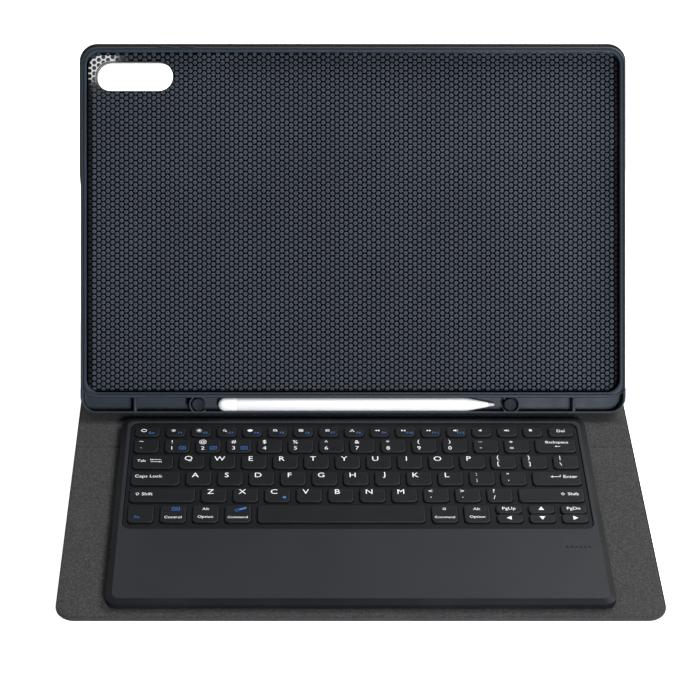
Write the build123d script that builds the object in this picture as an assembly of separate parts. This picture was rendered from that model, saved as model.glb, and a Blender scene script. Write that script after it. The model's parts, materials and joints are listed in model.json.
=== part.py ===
"""Folio keyboard case for a large tablet, standing open: +X right, +Y to the rear, +Z up.

The origin is the centre of the front cover's underside, which lies on the table.
All lengths are millimetres. One STEP file is written for each separate piece.
"""

import os
from math import atan2, cos, degrees, radians, sin

from build123d import *

# ---- Driving dimensions -------------------------------------------------------------------
LEAN = 38.0  # the tray leans back this far from upright, degrees

# folio
FOLIO_WIDTH = 335.0
COVER_DEPTH = 228.5
FOLIO_THICKNESS = 2.7
SKIN = 0.9
LINING = 0.6
FOLIO_CORNER = 11.0
SPINE_PITCH = 22.0  # between the two fold lines of the spine
BOARD_SETBACK = 3.5  # from a fold line to the stiff board beside it
FOLD_GAP = 1.0  # from a fold line to the end of each half strip
COVER_IN_FRONT = 176.7  # of the tray's resting line
STAND_SLACK = 1.5  # foot and leg together are this much longer than the back from fold to foot
MAGNET_RADIUS = 5.0
MAGNET_X = (-96.0, 96.0)
MAGNET_FROM_WELL_MIDDLE = 26.0

# tray
TABLET = (326.4, 208.6, 5.5)
TRAY_WIDTH = 332.0
TRAY_HEIGHT = 223.4
TRAY_DEPTH = 8.3
TRAY_CORNER = 10.5
TRAY_FLOOR = 1.0
POCKET_SLACK = 0.1  # around the tablet, each side
LIP_TOP = 3.2
LIP_SIDE = 3.6
LIP_THICKNESS = 1.3
OPENING_HEIGHT = 207.3
OPENING_CORNER = 8.0
FOLD_TO_TRAY_FOOT = 146.9  # the back's fold line above the tray's bottom edge
BACK_ABOVE_TRAY = 3.2
CAMERA_SLOT = (47.0, 17.5)
CAMERA_FROM_SIDE = 6.1
CAMERA_FROM_TOP = 5.7
PORT_FROM_FLOOR = 0.9  # the openings in the tray's walls
PORT_TOP_FROM_FLOOR = 5.1
CHARGE_OPENING = 13.0
SPEAKER_OPENING = 26.0
SPEAKER_FROM_MIDDLE = 62.0
MICROPHONE_SLOT = (-90.7, -69.6)

# button pads in the tray's top wall: centre x and width
PADS = {"power_pad": (-114.0, 9.5), "volume_pad": (-100.7, 9.2)}
PAD_FROM_FLOOR = 1.2
PAD_HEIGHT = 3.8
PAD_CLEARANCE = 0.15
PAD_TRAVEL = 0.4
PAD_PROUD = 0.6

# pen strip below the tablet
STRIP_DEPTH = 9.4
STRIP_WALL = 1.3
STRIP_BAND = 3.3
STRIP_FLOOR = 1.0
STRIP_END_WALL = 1.9
STYLUS_LENGTH = 168.5
STYLUS_DIAMETER = 8.0
STYLUS_CENTRE_X = 2.2
STYLUS_CONE = 17.5
NIB_LENGTH = 4.0
NIB_RADIUS = 1.35
PEG_DIAMETER = 8.0
PEG_BELOW_RIM = 0.8
PEG_X = (-94.2, 95.7)
RING_GAP = 0.7  # between a peg and its ring
RING_WALL = 0.8
RIB_X = (-132.7, 134.3)
RIB_WIDTH = 1.8
RIB_BELOW_RIM = 0.5

# keyboard
KB_WIDTH = 280.0
KB_DEPTH = 159.5
KB_FROM_TRAY = 10.4  # the keyboard's rear edge in front of the tray's resting line
KB_THICKNESS = 5.0
KB_CORNER = 6.0
KB_WALL = 1.5
KB_TOP = 1.2
KB_FOOT = 0.3
WELL_WIDTH = 268.8
WELL_DEPTH = 94.3
WELL_FROM_REAR = 5.4
WELL_CORNER = 5.0
DECK_TOP = 4.3
DECK_THICKNESS = 0.8
DECK_GAP = 0.35
RIM_WALL = 0.8
PLATE_Z = (0.8, 1.2)  # heights in the keyboard count from its underside
MEMBRANE_Z = (1.2, 1.5)
SHEET_Z = (1.5, 1.8)
SHEET_MARGIN = 0.5
SCREW_X = (-120.0, 0.0, 120.0)
SCREW_FROM_REAR = 3.2
SCREW_FROM_FRONT = 3.6
SCREW_LENGTH = 3.0
LAMPS = 6
LAMP_X = 117.1
LAMP_PITCH = 2.55
LAMP_IN_FRONT = 125.5  # of the tray's resting line
SWITCH_TRAVEL = 2.5
PORT_SHELL = (8.9, 2.75)  # the charging socket's width and height
BATTERY = (110.0, 42.0, 2.7)
FOOT_PAD = (16.0, 7.0)
FOOT_X = (-118.0, 118.0)
FOOT_FROM_END = 14.0

# keys
KEY = 14.7
SMALL_KEY = 11.6
BOTTOM_KEY = 14.8
TAB_KEY = 23.9
CAPS_KEY = 28.4
SHIFT_KEY = 37.8
SPACE_KEY = 96.1
KEY_ROW_DEPTH = 11.75
KEY_ROW_GAP = 3.0
FUNCTION_ROW_DEPTH = 8.3
SPACE_ROW_DEPTH = 14.6
STACK_GAP = 0.9
KEY_MARGIN_REAR = 4.5  # from the well's rear edge to the function row
FIELD_WIDTH = 263.2
KEY_TOP = 5.6
KEY_SKIRT = 3.4
KEY_WALL = 1.0
KEY_CEILING = 1.1
KEY_CORNER = 2.2
KEY_WINDOW_GAP = 0.4
DOME = (2.4, 1.5)  # radius at the foot and at the top

# ---- Derived places -----------------------------------------------------------------------
AXIS = (SKIN + LINING) / 2  # fold lines run in the middle of the flexible strip
RISE = FOLIO_THICKNESS - AXIS  # from a fold line up to the lining's face
HINGE_Y = COVER_DEPTH / 2
REST_Y = -HINGE_Y + COVER_IN_FRONT
REST_Z = FOLIO_THICKNESS + 0.05
SPINE_END_Y = HINGE_Y + SPINE_PITCH
TRAY_ANGLE = 90.0 - LEAN
TRAY_Z = FOLIO_THICKNESS  # the tray's back face, in the back panel's own frame
PORT_Z = (TRAY_Z + TRAY_FLOOR + PORT_FROM_FLOOR, TRAY_Z + TRAY_FLOOR + PORT_TOP_FROM_FLOOR)
PAD_Z = (TRAY_Z + TRAY_FLOOR + PAD_FROM_FLOOR, TRAY_Z + TRAY_FLOOR + PAD_FROM_FLOOR + PAD_HEIGHT)

TRAY_BOTTOM = -FOLD_TO_TRAY_FOOT
TRAY_TOP = TRAY_BOTTOM + TRAY_HEIGHT
OPENING_WIDTH = TRAY_WIDTH - 2 * LIP_SIDE
OPENING_TOP = TRAY_TOP - LIP_TOP
OPENING_BOTTOM = OPENING_TOP - OPENING_HEIGHT
OPENING_MID = (OPENING_TOP + OPENING_BOTTOM) / 2
STRIP_TOP = OPENING_BOTTOM - STRIP_BAND
STRIP_BOTTOM = TRAY_BOTTOM + STRIP_WALL
STRIP_MID = (STRIP_TOP + STRIP_BOTTOM) / 2

FOLD_Y = REST_Y + FOLD_TO_TRAY_FOOT * sin(radians(LEAN)) + RISE * cos(radians(LEAN))
FOLD_Z = REST_Z + FOLD_TO_TRAY_FOOT * cos(radians(LEAN)) - RISE * sin(radians(LEAN))

KB_REAR = REST_Y - KB_FROM_TRAY
KB_MID = KB_REAR - KB_DEPTH / 2
KB_FRONT = KB_REAR - KB_DEPTH
KB_Z = FOLIO_THICKNESS + KB_FOOT
WELL_REAR = KB_REAR - WELL_FROM_REAR
WELL_MID = WELL_REAR - WELL_DEPTH / 2
FIELD_REAR = WELL_REAR - KEY_MARGIN_REAR
PALM_MID = (WELL_REAR - WELL_DEPTH + KB_FRONT) / 2
KB_SIDE = KB_WIDTH / 2
SCREW_Y = (KB_REAR - SCREW_FROM_REAR, KB_FRONT + SCREW_FROM_FRONT)
LED_X = [LAMP_X + LAMP_PITCH * i for i in range(LAMPS)]
LED_Y = REST_Y - LAMP_IN_FRONT
PORT_Y = PALM_MID - 4.0
SWITCH_Y = PALM_MID + 12.0


def leg_lengths():
    """Foot and leg panel lengths that reach the fold line and still fold flat behind the tray."""
    whole = FOLD_TO_TRAY_FOOT + STAND_SLACK
    ahead = SPINE_END_Y - FOLD_Y
    up = FOLD_Z - AXIS
    foot = (whole**2 - ahead**2 - up**2) / (2 * (whole + ahead))
    return foot, whole - foot


FOOT_LENGTH, LEG_LENGTH = leg_lengths()
LEG_HINGE_Y = SPINE_END_Y + FOOT_LENGTH
LEG_ANGLE = degrees(atan2(FOLD_Z - AXIS, FOLD_Y - LEG_HINGE_Y))

# ---- Helpers ------------------------------------------------------------------------------


def block(x0, x1, y0, y1, z0, z1):
    """A box between two corners."""
    return Pos((x0 + x1) / 2, (y0 + y1) / 2, (z0 + z1) / 2) * Box(x1 - x0, y1 - y0, z1 - z0)


def tile(width, depth, y_mid, z0, z1, corner, x_mid=0.0):
    """A plate with four rounded corners, between two heights."""
    outline = Pos(x_mid, y_mid, z0) * RectangleRounded(width, depth, corner)
    return extrude(outline, z1 - z0)


def rod(radius, x, y, z0, z1):
    """An upright cylinder between two heights."""
    return Pos(x, y, (z0 + z1) / 2) * Cylinder(radius, z1 - z0)


def one(shape):
    """The single solid of a shape."""
    return shape.solids()[0]


def group(shapes):
    """Several separate solids as one piece of the model."""
    return Compound(children=[one(s) for s in shapes])


# ---- Folio panels -------------------------------------------------------------------------


def panel_outline(width, y0, y1, rounded, radius):
    """A panel's face, with two round corners at its free end: rounded is 'low', 'high' or ''."""
    half = width / 2
    face = make_face(Polyline((-half, y0), (half, y0), (half, y1), (-half, y1), close=True))
    if not rounded:
        return face
    free_end = y0 if rounded == "low" else y1
    return fillet([v for v in face.vertices() if abs(v.Y - free_end) < 1e-6], radius)


def beside_fold(fold_y, reach, z0):
    """What is cut away beside a fold line, where no board lies between skin and lining."""
    near, far = sorted((fold_y, fold_y + reach))
    return block(-FOLIO_WIDTH, FOLIO_WIDTH, near, far, z0, FOLIO_THICKNESS + 1)


def folio_panel(y0, y1, rounded=""):
    """Skin, board and lining of one panel, lying flat with its skin down at z = 0.

    y0 and y1 are fold lines, except at the rounded end, which is the panel's free edge.
    """

    def plate(width, at_fold, at_free, radius, z0, z1):
        """A plate of the panel's shape, its ends set back from a fold line or from the free edge."""
        low = y0 + (at_free if rounded == "low" else at_fold)
        high = y1 - (at_free if rounded == "high" else at_fold)
        return extrude(Pos(0, 0, z0) * panel_outline(width, low, high, rounded, radius), z1 - z0)

    top = FOLIO_THICKNESS
    inner = FOLIO_WIDTH - 2 * SKIN
    bend = FOLIO_CORNER - SKIN
    skin = plate(FOLIO_WIDTH, FOLD_GAP, 0, FOLIO_CORNER, 0, top)
    skin -= plate(inner, -1, SKIN, bend, SKIN, top + 1)
    board = plate(inner, BOARD_SETBACK, SKIN, bend, SKIN, top - LINING)
    lining = plate(inner, FOLD_GAP, SKIN, bend, SKIN, top) - board
    for fold_y, way, end in ((y0, 1, "low"), (y1, -1, "high")):
        if end != rounded:
            skin -= beside_fold(fold_y, way * BOARD_SETBACK, SKIN)
            lining -= beside_fold(fold_y, way * (BOARD_SETBACK - LINING), SKIN + LINING)
    return skin, board, lining


def cover():
    """The front cover, flat on the table, with magnets let into its board."""
    skin, board, lining = folio_panel(-HINGE_Y, HINGE_Y, "low")
    magnets = []
    for x in MAGNET_X:
        for y in (WELL_MID - MAGNET_FROM_WELL_MIDDLE, WELL_MID + MAGNET_FROM_WELL_MIDDLE):
            board -= rod(MAGNET_RADIUS + 0.05, x, y, 0, 10)
            magnets.append(rod(MAGNET_RADIUS, x, y, SKIN, FOLIO_THICKNESS - LINING))
    return skin, board, lining, group(magnets)


def leg_place():
    """Where the leg panel stands: its own y = 0 is the lower fold line."""
    return Pos(0, LEG_HINGE_Y, AXIS) * Rot(LEG_ANGLE, 0, 0) * Pos(0, 0, -AXIS)


def tray_place():
    """Where the tray and the back's upper panel stand: their y = 0 is the upper fold line."""
    return Pos(0, FOLD_Y, FOLD_Z) * Rot(TRAY_ANGLE, 0, 0) * Pos(0, 0, -AXIS)


def camera_hole(depth):
    """The long camera opening, cut through the back, lining and tray floor alike."""
    width, height = CAMERA_SLOT
    x = -OPENING_WIDTH / 2 + CAMERA_FROM_SIDE + width / 2
    y = OPENING_TOP - CAMERA_FROM_TOP - height / 2
    return extrude(Pos(x, y, -1) * SlotOverall(width, height), depth)


def back():
    """The back's upper panel, glued to the tray."""
    parts = folio_panel(0.0, TRAY_TOP + BACK_ABOVE_TRAY, "high")
    return [one(p - camera_hole(FOLIO_THICKNESS + 2)) for p in parts]


# ---- Tray ---------------------------------------------------------------------------------


def strip_pocket():
    """The long open pocket under the tablet, its outer corners round like the tray's."""
    inner = TRAY_WIDTH - 2 * STRIP_END_WALL
    height = STRIP_TOP - STRIP_BOTTOM
    outline = panel_outline(inner, STRIP_BOTTOM, STRIP_TOP, "low", height - 0.4)
    return Pos(0, 0, TRAY_Z + STRIP_FLOOR) * extrude(outline, STRIP_DEPTH)


def peg_holder(x, side):
    """A round peg in the pen strip with a springy ring open towards the stylus."""
    radius = PEG_DIAMETER / 2
    top = TRAY_Z + STRIP_DEPTH
    peg = rod(radius, x, STRIP_MID, TRAY_Z, top - PEG_BELOW_RIM)
    ring = rod(radius + RING_GAP + RING_WALL, x, STRIP_MID, TRAY_Z, top)
    ring -= rod(radius + RING_GAP, x, STRIP_MID, 0, 2 * top)
    mouth = block(x - 10, x + 10, STRIP_MID - 2.4, STRIP_MID + 1.2, 0, 2 * top)
    ring -= Pos(side * 10, 0) * mouth
    inside = block(x - 12, x + 12, STRIP_BOTTOM - 0.2, STRIP_TOP + 0.2, 0, 2 * top)
    return [peg, ring & inside]


def tray_shell():
    """The soft shell that holds the tablet, with the pen strip along its bottom."""
    back_z = TRAY_Z
    mid = (TRAY_TOP + TRAY_BOTTOM) / 2
    shell = tile(TRAY_WIDTH, TRAY_HEIGHT, mid, back_z, back_z + TRAY_DEPTH, TRAY_CORNER)
    raised = tile(TRAY_WIDTH, TRAY_HEIGHT, mid, back_z, back_z + STRIP_DEPTH, TRAY_CORNER)
    strip_only = block(
        -TRAY_WIDTH, TRAY_WIDTH, TRAY_BOTTOM - 1, OPENING_BOTTOM - 0.8, back_z, back_z + 2 * STRIP_DEPTH
    )
    shell += raised & strip_only

    pocket = tile(
        TABLET[0] + 2 * POCKET_SLACK,
        TABLET[1] + 2 * POCKET_SLACK,
        OPENING_MID,
        back_z + TRAY_FLOOR,
        back_z + TRAY_DEPTH - LIP_THICKNESS,
        OPENING_CORNER,
    )
    mouth_z = (back_z + TRAY_FLOOR + 2, back_z + 2 * TRAY_DEPTH)
    shell -= pocket
    shell -= tile(OPENING_WIDTH, OPENING_HEIGHT, OPENING_MID, *mouth_z, OPENING_CORNER)
    shell -= camera_hole(3 * TRAY_DEPTH)

    shell -= strip_pocket()
    for x in RIB_X:
        shell += block(
            x - RIB_WIDTH / 2, x + RIB_WIDTH / 2, STRIP_BOTTOM - 0.3, STRIP_TOP + 0.3,
            back_z, back_z + STRIP_DEPTH - RIB_BELOW_RIM,
        )
    for x, side in zip(PEG_X, (1, -1)):
        for piece in peg_holder(x, side):
            shell += piece
    shell -= edge_openings()
    return one(shell)


def edge_openings():
    """Cut-outs in the tray's walls: both button windows, the microphone slot and the side ports."""
    high = TRAY_TOP + 5
    low = OPENING_TOP - 1
    slot_x = MICROPHONE_SLOT
    cuts = block(*slot_x, low, high, PAD_Z[0] + 0.2, PAD_Z[1] - 0.2)
    for x, width in PADS.values():
        reach = width / 2 + PAD_CLEARANCE
        window_z = (PAD_Z[0] - PAD_CLEARANCE, PAD_Z[1] + PAD_CLEARANCE)
        cuts += block(x - reach, x + reach, low, high, *window_z)
    side = TRAY_WIDTH / 2
    speakers = (OPENING_MID + SPEAKER_FROM_MIDDLE, OPENING_MID - SPEAKER_FROM_MIDDLE)
    half = SPEAKER_OPENING / 2
    for y in speakers:
        for x in (-side, side):
            cuts += block(x - 5, x + 5, y - half, y + half, *PORT_Z)
    half = CHARGE_OPENING / 2
    cuts += block(side - 5, side + 5, OPENING_MID - half, OPENING_MID + half, *PORT_Z)
    return cuts


def button_pad(name):
    """A soft button pad in the tray's top wall, standing a little proud of it."""
    x, width = PADS[name]
    inner_y = OPENING_MID + TABLET[1] / 2 + POCKET_SLACK + PAD_TRAVEL + 0.05
    return one(block(x - width / 2, x + width / 2, inner_y, TRAY_TOP + PAD_PROUD, *PAD_Z))


def stylus():
    """The pen, lying in the strip with its point to the right."""
    radius = STYLUS_DIAMETER / 2
    x0 = STYLUS_CENTRE_X - STYLUS_LENGTH / 2
    x1 = STYLUS_CENTRE_X + STYLUS_LENGTH / 2
    nib_x = x1 - NIB_LENGTH
    axis_z = TRAY_Z + STRIP_FLOOR + radius + 0.1
    outline = Polyline(
        (x0 + radius, radius), (x1 - STYLUS_CONE, radius), (nib_x, NIB_RADIUS), (nib_x, 0), (x0, 0)
    )
    end = JernArc((x0, 0), (0, 1), radius, -90)
    barrel = revolve(make_face(Wire(outline.edges() + end.edges())), Axis.X)
    rounding = ((x1 - 0.8, 0.75), (x1 - 0.2, 0.45), (x1, 0.15))
    point = Polyline((nib_x, 0), (nib_x, NIB_RADIUS), *rounding, (x1, 0), close=True)
    tip = revolve(make_face(point), Axis.X)
    place = Pos(0, STRIP_MID, axis_z)
    return one(place * barrel), one(place * tip)


# ---- Keys ---------------------------------------------------------------------------------


def row_of(widths):
    """(centre x, width) of each key in a row that fills the key field."""
    gap = (FIELD_WIDTH - sum(widths)) / (len(widths) - 1)
    x = -FIELD_WIDTH / 2
    cells = []
    for width in widths:
        cells.append((x + width / 2, width))
        x += width + gap
    return cells


def key_rows():
    """Each row of keys as (name, centre x, centre y, width, depth), from the rear to the front."""
    rows = [
        [("key_escape", KEY)] + [("keys_function_row", SMALL_KEY)] * 15 + [("key_delete", KEY)],
        [("keys_number_row", KEY)] * 13 + [("key_backspace", TAB_KEY)],
        [("key_tab", TAB_KEY)] + [("keys_upper_letter_row", KEY)] * 13,
        [("key_caps_lock", CAPS_KEY)] + [("keys_home_row", KEY)] * 11 + [("key_enter", CAPS_KEY)],
        [("key_shift_left", SHIFT_KEY)]
        + [("keys_lower_letter_row", KEY)] * 10
        + [("key_shift_right", SHIFT_KEY)],
        [(n, BOTTOM_KEY) for n in ("key_function", "key_control", "key_option_left", "key_command_left")]
        + [("key_space", SPACE_KEY)]
        + [(n, BOTTOM_KEY) for n in ("key_command_right", "key_option_right")]
        + [(n, BOTTOM_KEY) for n in ("stack_left", "stack_middle", "stack_right")],
    ]
    depths = [FUNCTION_ROW_DEPTH] + [KEY_ROW_DEPTH] * 4 + [SPACE_ROW_DEPTH]
    stacks = {
        "stack_left": ("key_page_up", "key_arrow_left"),
        "stack_middle": ("key_arrow_up", "key_arrow_down"),
        "stack_right": ("key_page_down", "key_arrow_right"),
    }
    keys = []
    rear = FIELD_REAR
    for row, depth in zip(rows, depths):
        for (name, _), (x, width) in zip(row, row_of([w for _, w in row])):
            if name in stacks:
                half = (depth - STACK_GAP) / 2
                upper, lower = stacks[name]
                keys.append((upper, x, rear - half / 2, width, half))
                keys.append((lower, x, rear - depth + half / 2, width, half))
            else:
                keys.append((name, x, rear - depth / 2, width, depth))
        rear -= depth + KEY_ROW_GAP
    return keys


def key_cap(x, y, width, depth):
    """One key cap: hollow underneath, its top edge softly broken."""
    corner = min(KEY_CORNER, depth / 2 - 1.2)
    cap = tile(width, depth, y, KB_Z + KEY_SKIRT, KB_Z + KEY_TOP, corner, x)
    cap = chamfer(cap.faces().sort_by(Axis.Z)[-1].edges(), 0.35)
    inner = max(corner - KEY_WALL, 0.5)
    ceiling = KB_Z + KEY_TOP - KEY_CEILING
    cap -= tile(
        width - 2 * KEY_WALL, depth - 2 * KEY_WALL, y, KB_Z + KEY_SKIRT - 1, ceiling, inner, x
    )
    return cap


def key_nodes(keys):
    """Key caps grouped by the name of the piece they belong to."""
    nodes = {}
    for name, x, y, width, depth in keys:
        nodes.setdefault(name, []).append(key_cap(x, y, width, depth))
    return {name: group(caps) if len(caps) > 1 else one(caps[0]) for name, caps in nodes.items()}


# ---- Keyboard -----------------------------------------------------------------------------


def kb_level(z):
    """A height in the keyboard, counted from its underside."""
    return KB_Z + z


def top_frame():
    """The keyboard's upper casing: palm rest, key well and side walls in one moulding."""
    body = tile(KB_WIDTH, KB_DEPTH, KB_MID, kb_level(0.2), kb_level(KB_THICKNESS), KB_CORNER)
    body = chamfer(body.faces().sort_by(Axis.Z)[-1].edges(), 1.3)
    body -= tile(
        KB_WIDTH - 2 * KB_WALL, KB_DEPTH - 2 * KB_WALL, KB_MID,
        kb_level(-1), kb_level(KB_THICKNESS - KB_TOP), KB_CORNER - KB_WALL,
    )
    body -= tile(WELL_WIDTH, WELL_DEPTH, WELL_MID, kb_level(1), kb_level(9), WELL_CORNER)
    for x in SCREW_X:
        for y in SCREW_Y:
            body += rod(1.5, x, y, kb_level(PLATE_Z[0]), kb_level(KB_THICKNESS - KB_TOP))
            body -= rod(0.6, x, y, kb_level(0), kb_level(SCREW_LENGTH + 0.2))
    for x in LED_X:
        body -= rod(0.55, x, LED_Y, kb_level(0), kb_level(9))
    reach = PORT_SHELL[0] / 2 + 0.15
    port_z = (kb_level(0.9), kb_level(0.95 + PORT_SHELL[1] + 0.05))
    body -= block(KB_SIDE - 4, KB_SIDE + 4, PORT_Y - reach, PORT_Y + reach, *port_z)
    slot = 1.7 + SWITCH_TRAVEL / 2
    body -= block(
        KB_SIDE - 3, KB_SIDE + 4, SWITCH_Y - slot, SWITCH_Y + slot, kb_level(1.3), kb_level(3.0)
    )
    return one(body)


def bottom_cover():
    """The keyboard's flat underside, let in between the walls."""
    gap = KB_WALL + 0.1
    cover_plate = tile(
        KB_WIDTH - 2 * gap, KB_DEPTH - 2 * gap, KB_MID, kb_level(0), kb_level(PLATE_Z[0]), KB_CORNER - gap
    )
    for x in SCREW_X:
        for y in SCREW_Y:
            cover_plate -= rod(0.75, x, y, kb_level(-1), kb_level(3))
            cover_plate -= rod(1.45, x, y, kb_level(-1), kb_level(0.45))
    return one(cover_plate)


def screws():
    """Six small screws that hold the underside to the upper casing."""
    made = []
    for x in SCREW_X:
        for y in SCREW_Y:
            head = rod(1.3, x, y, kb_level(0), kb_level(0.45))
            made.append(head + rod(0.58, x, y, kb_level(0.45), kb_level(SCREW_LENGTH)))
    return group(made)


def key_deck(keys):
    """The plate around the keys, with a window for each and a rim that stands on the steel plate."""
    low = DECK_TOP - DECK_THICKNESS
    width = WELL_WIDTH - 2 * DECK_GAP
    depth = WELL_DEPTH - 2 * DECK_GAP
    corner = WELL_CORNER - DECK_GAP
    outline = Pos(0, WELL_MID) * RectangleRounded(width, depth, corner)
    windows = []
    for _, x, y, key_width, key_depth in keys:
        corner_r = min(KEY_CORNER, key_depth / 2 - 1.2) + KEY_WINDOW_GAP
        window = (key_width + 2 * KEY_WINDOW_GAP, key_depth + 2 * KEY_WINDOW_GAP)
        windows.append(Pos(x, y) * RectangleRounded(*window, corner_r))
    face = outline - windows
    deck = extrude(Pos(0, 0, kb_level(low)) * face, DECK_THICKNESS)
    rim = tile(width, depth, WELL_MID, kb_level(SHEET_Z[1]), kb_level(low), corner)
    wall = 2 * RIM_WALL
    rim -= tile(width - wall, depth - wall, WELL_MID, kb_level(0), kb_level(9), corner - RIM_WALL)
    return one(deck + rim)


def flat_sheet(z_range, margin):
    """A flat sheet under the keys, smaller than the well by a margin."""
    return tile(
        WELL_WIDTH - 2 * margin, WELL_DEPTH - 2 * margin, WELL_MID,
        kb_level(z_range[0]), kb_level(z_range[1]), WELL_CORNER - margin / 2,
    )


def dome_sheet(keys):
    """A silicone sheet with a dome under each key."""
    sheet = flat_sheet(SHEET_Z, SHEET_MARGIN)
    top = KEY_TOP - KEY_CEILING - 0.05
    height = top - SHEET_Z[1]
    for _, x, y, _, _ in keys:
        sheet += Pos(x, y, kb_level(SHEET_Z[1] + height / 2)) * Cone(*DOME, height)
    return one(sheet)


def circuit_board():
    """The main board beside the battery, under the lamps, with its controller chip."""
    board = block(84, 133, PALM_MID - 14, PALM_MID + 17, kb_level(0.8), kb_level(1.6))
    return one(board + block(96, 104, PALM_MID - 6, PALM_MID + 2, kb_level(1.6), kb_level(2.7)))


def battery():
    """A flat lithium-polymer pouch under the palm rest."""
    width, depth, height = BATTERY
    base = kb_level(PLATE_Z[0])
    return one(tile(width, depth, PALM_MID, base, base + height, 2.0))


def charge_port():
    """The metal charging socket in the right-hand wall, beside the main board."""
    inner = KB_SIDE - 5.5
    wall = 0.3
    half = PORT_SHELL[0] / 2
    low = kb_level(0.95)
    high = low + PORT_SHELL[1]
    shell = block(inner, KB_SIDE - 0.3, PORT_Y - half, PORT_Y + half, low, high)
    shell = fillet(shell.edges().filter_by(Axis.X), 1.2)
    half -= wall
    hollow = block(inner + 0.6, KB_SIDE + 1, PORT_Y - half, PORT_Y + half, low + wall, high - wall)
    shell -= fillet(hollow.edges().filter_by(Axis.X), 0.9)
    tongue = block(inner + 0.3, KB_SIDE - 0.9, PORT_Y - 3.2, PORT_Y + 3.2, kb_level(2.1), kb_level(2.55))
    return one(shell + tongue)


def power_switch():
    """The sliding power switch in the right-hand wall, at its off end."""
    y = SWITCH_Y - SWITCH_TRAVEL / 2
    inner = KB_SIDE - KB_WALL - 0.1
    knob = block(inner, KB_SIDE + 0.5, y - 1.6, y + 1.6, kb_level(1.4), kb_level(2.9))
    return one(knob + block(inner - 1.6, inner, y - 2.8, y + 2.8, kb_level(1.2), kb_level(3.1)))


def feet():
    """Four thin rubber pads between the keyboard and the cover."""
    made = []
    for x in FOOT_X:
        for y in (KB_REAR - FOOT_FROM_END, KB_FRONT + FOOT_FROM_END):
            made.append(tile(*FOOT_PAD, y, kb_level(-KB_FOOT), kb_level(0), 3.0, x))
    return group(made)


def led_guides():
    """Six light guides for the indicator lamps in the palm rest."""
    return group([rod(0.5, x, LED_Y, kb_level(3.0), kb_level(KB_THICKNESS) - 0.15) for x in LED_X])


# ---- The whole case -----------------------------------------------------------------------


def folio_nodes():
    """Every piece of the folded folio, in its place."""
    nodes = {}
    nodes["cover_skin"], nodes["cover_board"], nodes["cover_lining"], nodes["cover_magnets"] = cover()
    for name, low, high in (("spine", HINGE_Y, SPINE_END_Y), ("foot", SPINE_END_Y, LEG_HINGE_Y)):
        for layer, piece in zip(("skin", "board", "lining"), folio_panel(low, high)):
            nodes[f"{name}_{layer}"] = piece
    for layer, piece in zip(("skin", "board", "lining"), folio_panel(0.0, LEG_LENGTH)):
        nodes[f"leg_{layer}"] = leg_place() * piece
    for layer, piece in zip(("skin", "board", "lining"), back()):
        nodes[f"back_{layer}"] = tray_place() * piece
    return nodes


def tray_nodes():
    """The tray, its button pads and the stylus."""
    place = tray_place()
    nodes = {"tray_shell": place * tray_shell()}
    for name in PADS:
        nodes[name] = place * button_pad(name)
    barrel, tip = stylus()
    nodes["stylus_barrel"] = place * barrel
    nodes["stylus_tip"] = place * tip
    return nodes


def keyboard_nodes():
    """The detachable keyboard and its keys."""
    keys = key_rows()
    nodes = {
        "keyboard_top_frame": top_frame(),
        "keyboard_bottom_cover": bottom_cover(),
        "keyboard_screws": screws(),
        "key_deck": key_deck(keys),
        "steel_plate": one(flat_sheet(PLATE_Z, SHEET_MARGIN)),
        "key_membrane": one(flat_sheet(MEMBRANE_Z, SHEET_MARGIN)),
        "dome_sheet": dome_sheet(keys),
        "circuit_board": circuit_board(),
        "battery": battery(),
        "charge_port": charge_port(),
        "power_switch": power_switch(),
        "keyboard_feet": feet(),
        "lamp_guides": led_guides(),
    }
    nodes.update(key_nodes(keys))
    return nodes


def main():
    """Build every piece and write it."""
    os.makedirs("parts", exist_ok=True)
    nodes = {**folio_nodes(), **tray_nodes(), **keyboard_nodes()}
    for name, piece in nodes.items():
        export_step(piece if isinstance(piece, Compound) else one(piece), f"parts/{name}.step")


if __name__ == "__main__":
    main()
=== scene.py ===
"""Looks of the folio keyboard case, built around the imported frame.

Blender works in metres. Shapes are worked out in millimetres, in the own frame of the panel they lie
on: x to the right, y up the panel, z out of the lining side, with z = 0 on the outer skin.
"""

import cmath
import json
import math
from functools import lru_cache

import bpy
import bmesh
from mathutils import Matrix, Vector, noise

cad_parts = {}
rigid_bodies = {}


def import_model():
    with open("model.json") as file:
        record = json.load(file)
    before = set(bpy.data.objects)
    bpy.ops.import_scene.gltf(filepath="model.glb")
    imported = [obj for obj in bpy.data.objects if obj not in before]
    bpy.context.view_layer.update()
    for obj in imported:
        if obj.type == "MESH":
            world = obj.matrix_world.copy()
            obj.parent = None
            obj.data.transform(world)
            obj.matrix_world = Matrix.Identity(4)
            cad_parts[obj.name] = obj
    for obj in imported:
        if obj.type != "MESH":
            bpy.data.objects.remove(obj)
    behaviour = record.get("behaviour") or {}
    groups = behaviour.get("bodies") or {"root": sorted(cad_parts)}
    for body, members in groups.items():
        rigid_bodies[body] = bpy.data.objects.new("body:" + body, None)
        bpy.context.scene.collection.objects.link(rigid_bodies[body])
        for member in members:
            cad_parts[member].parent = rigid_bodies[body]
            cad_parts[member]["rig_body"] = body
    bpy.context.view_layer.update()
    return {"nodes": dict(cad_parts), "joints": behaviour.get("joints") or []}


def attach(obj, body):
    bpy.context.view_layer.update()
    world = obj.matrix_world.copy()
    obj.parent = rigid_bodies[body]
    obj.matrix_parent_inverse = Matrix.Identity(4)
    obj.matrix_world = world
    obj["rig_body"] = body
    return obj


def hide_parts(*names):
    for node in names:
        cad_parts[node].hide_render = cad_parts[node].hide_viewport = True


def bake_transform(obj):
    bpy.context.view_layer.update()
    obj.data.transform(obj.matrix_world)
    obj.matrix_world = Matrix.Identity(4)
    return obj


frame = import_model()

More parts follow.
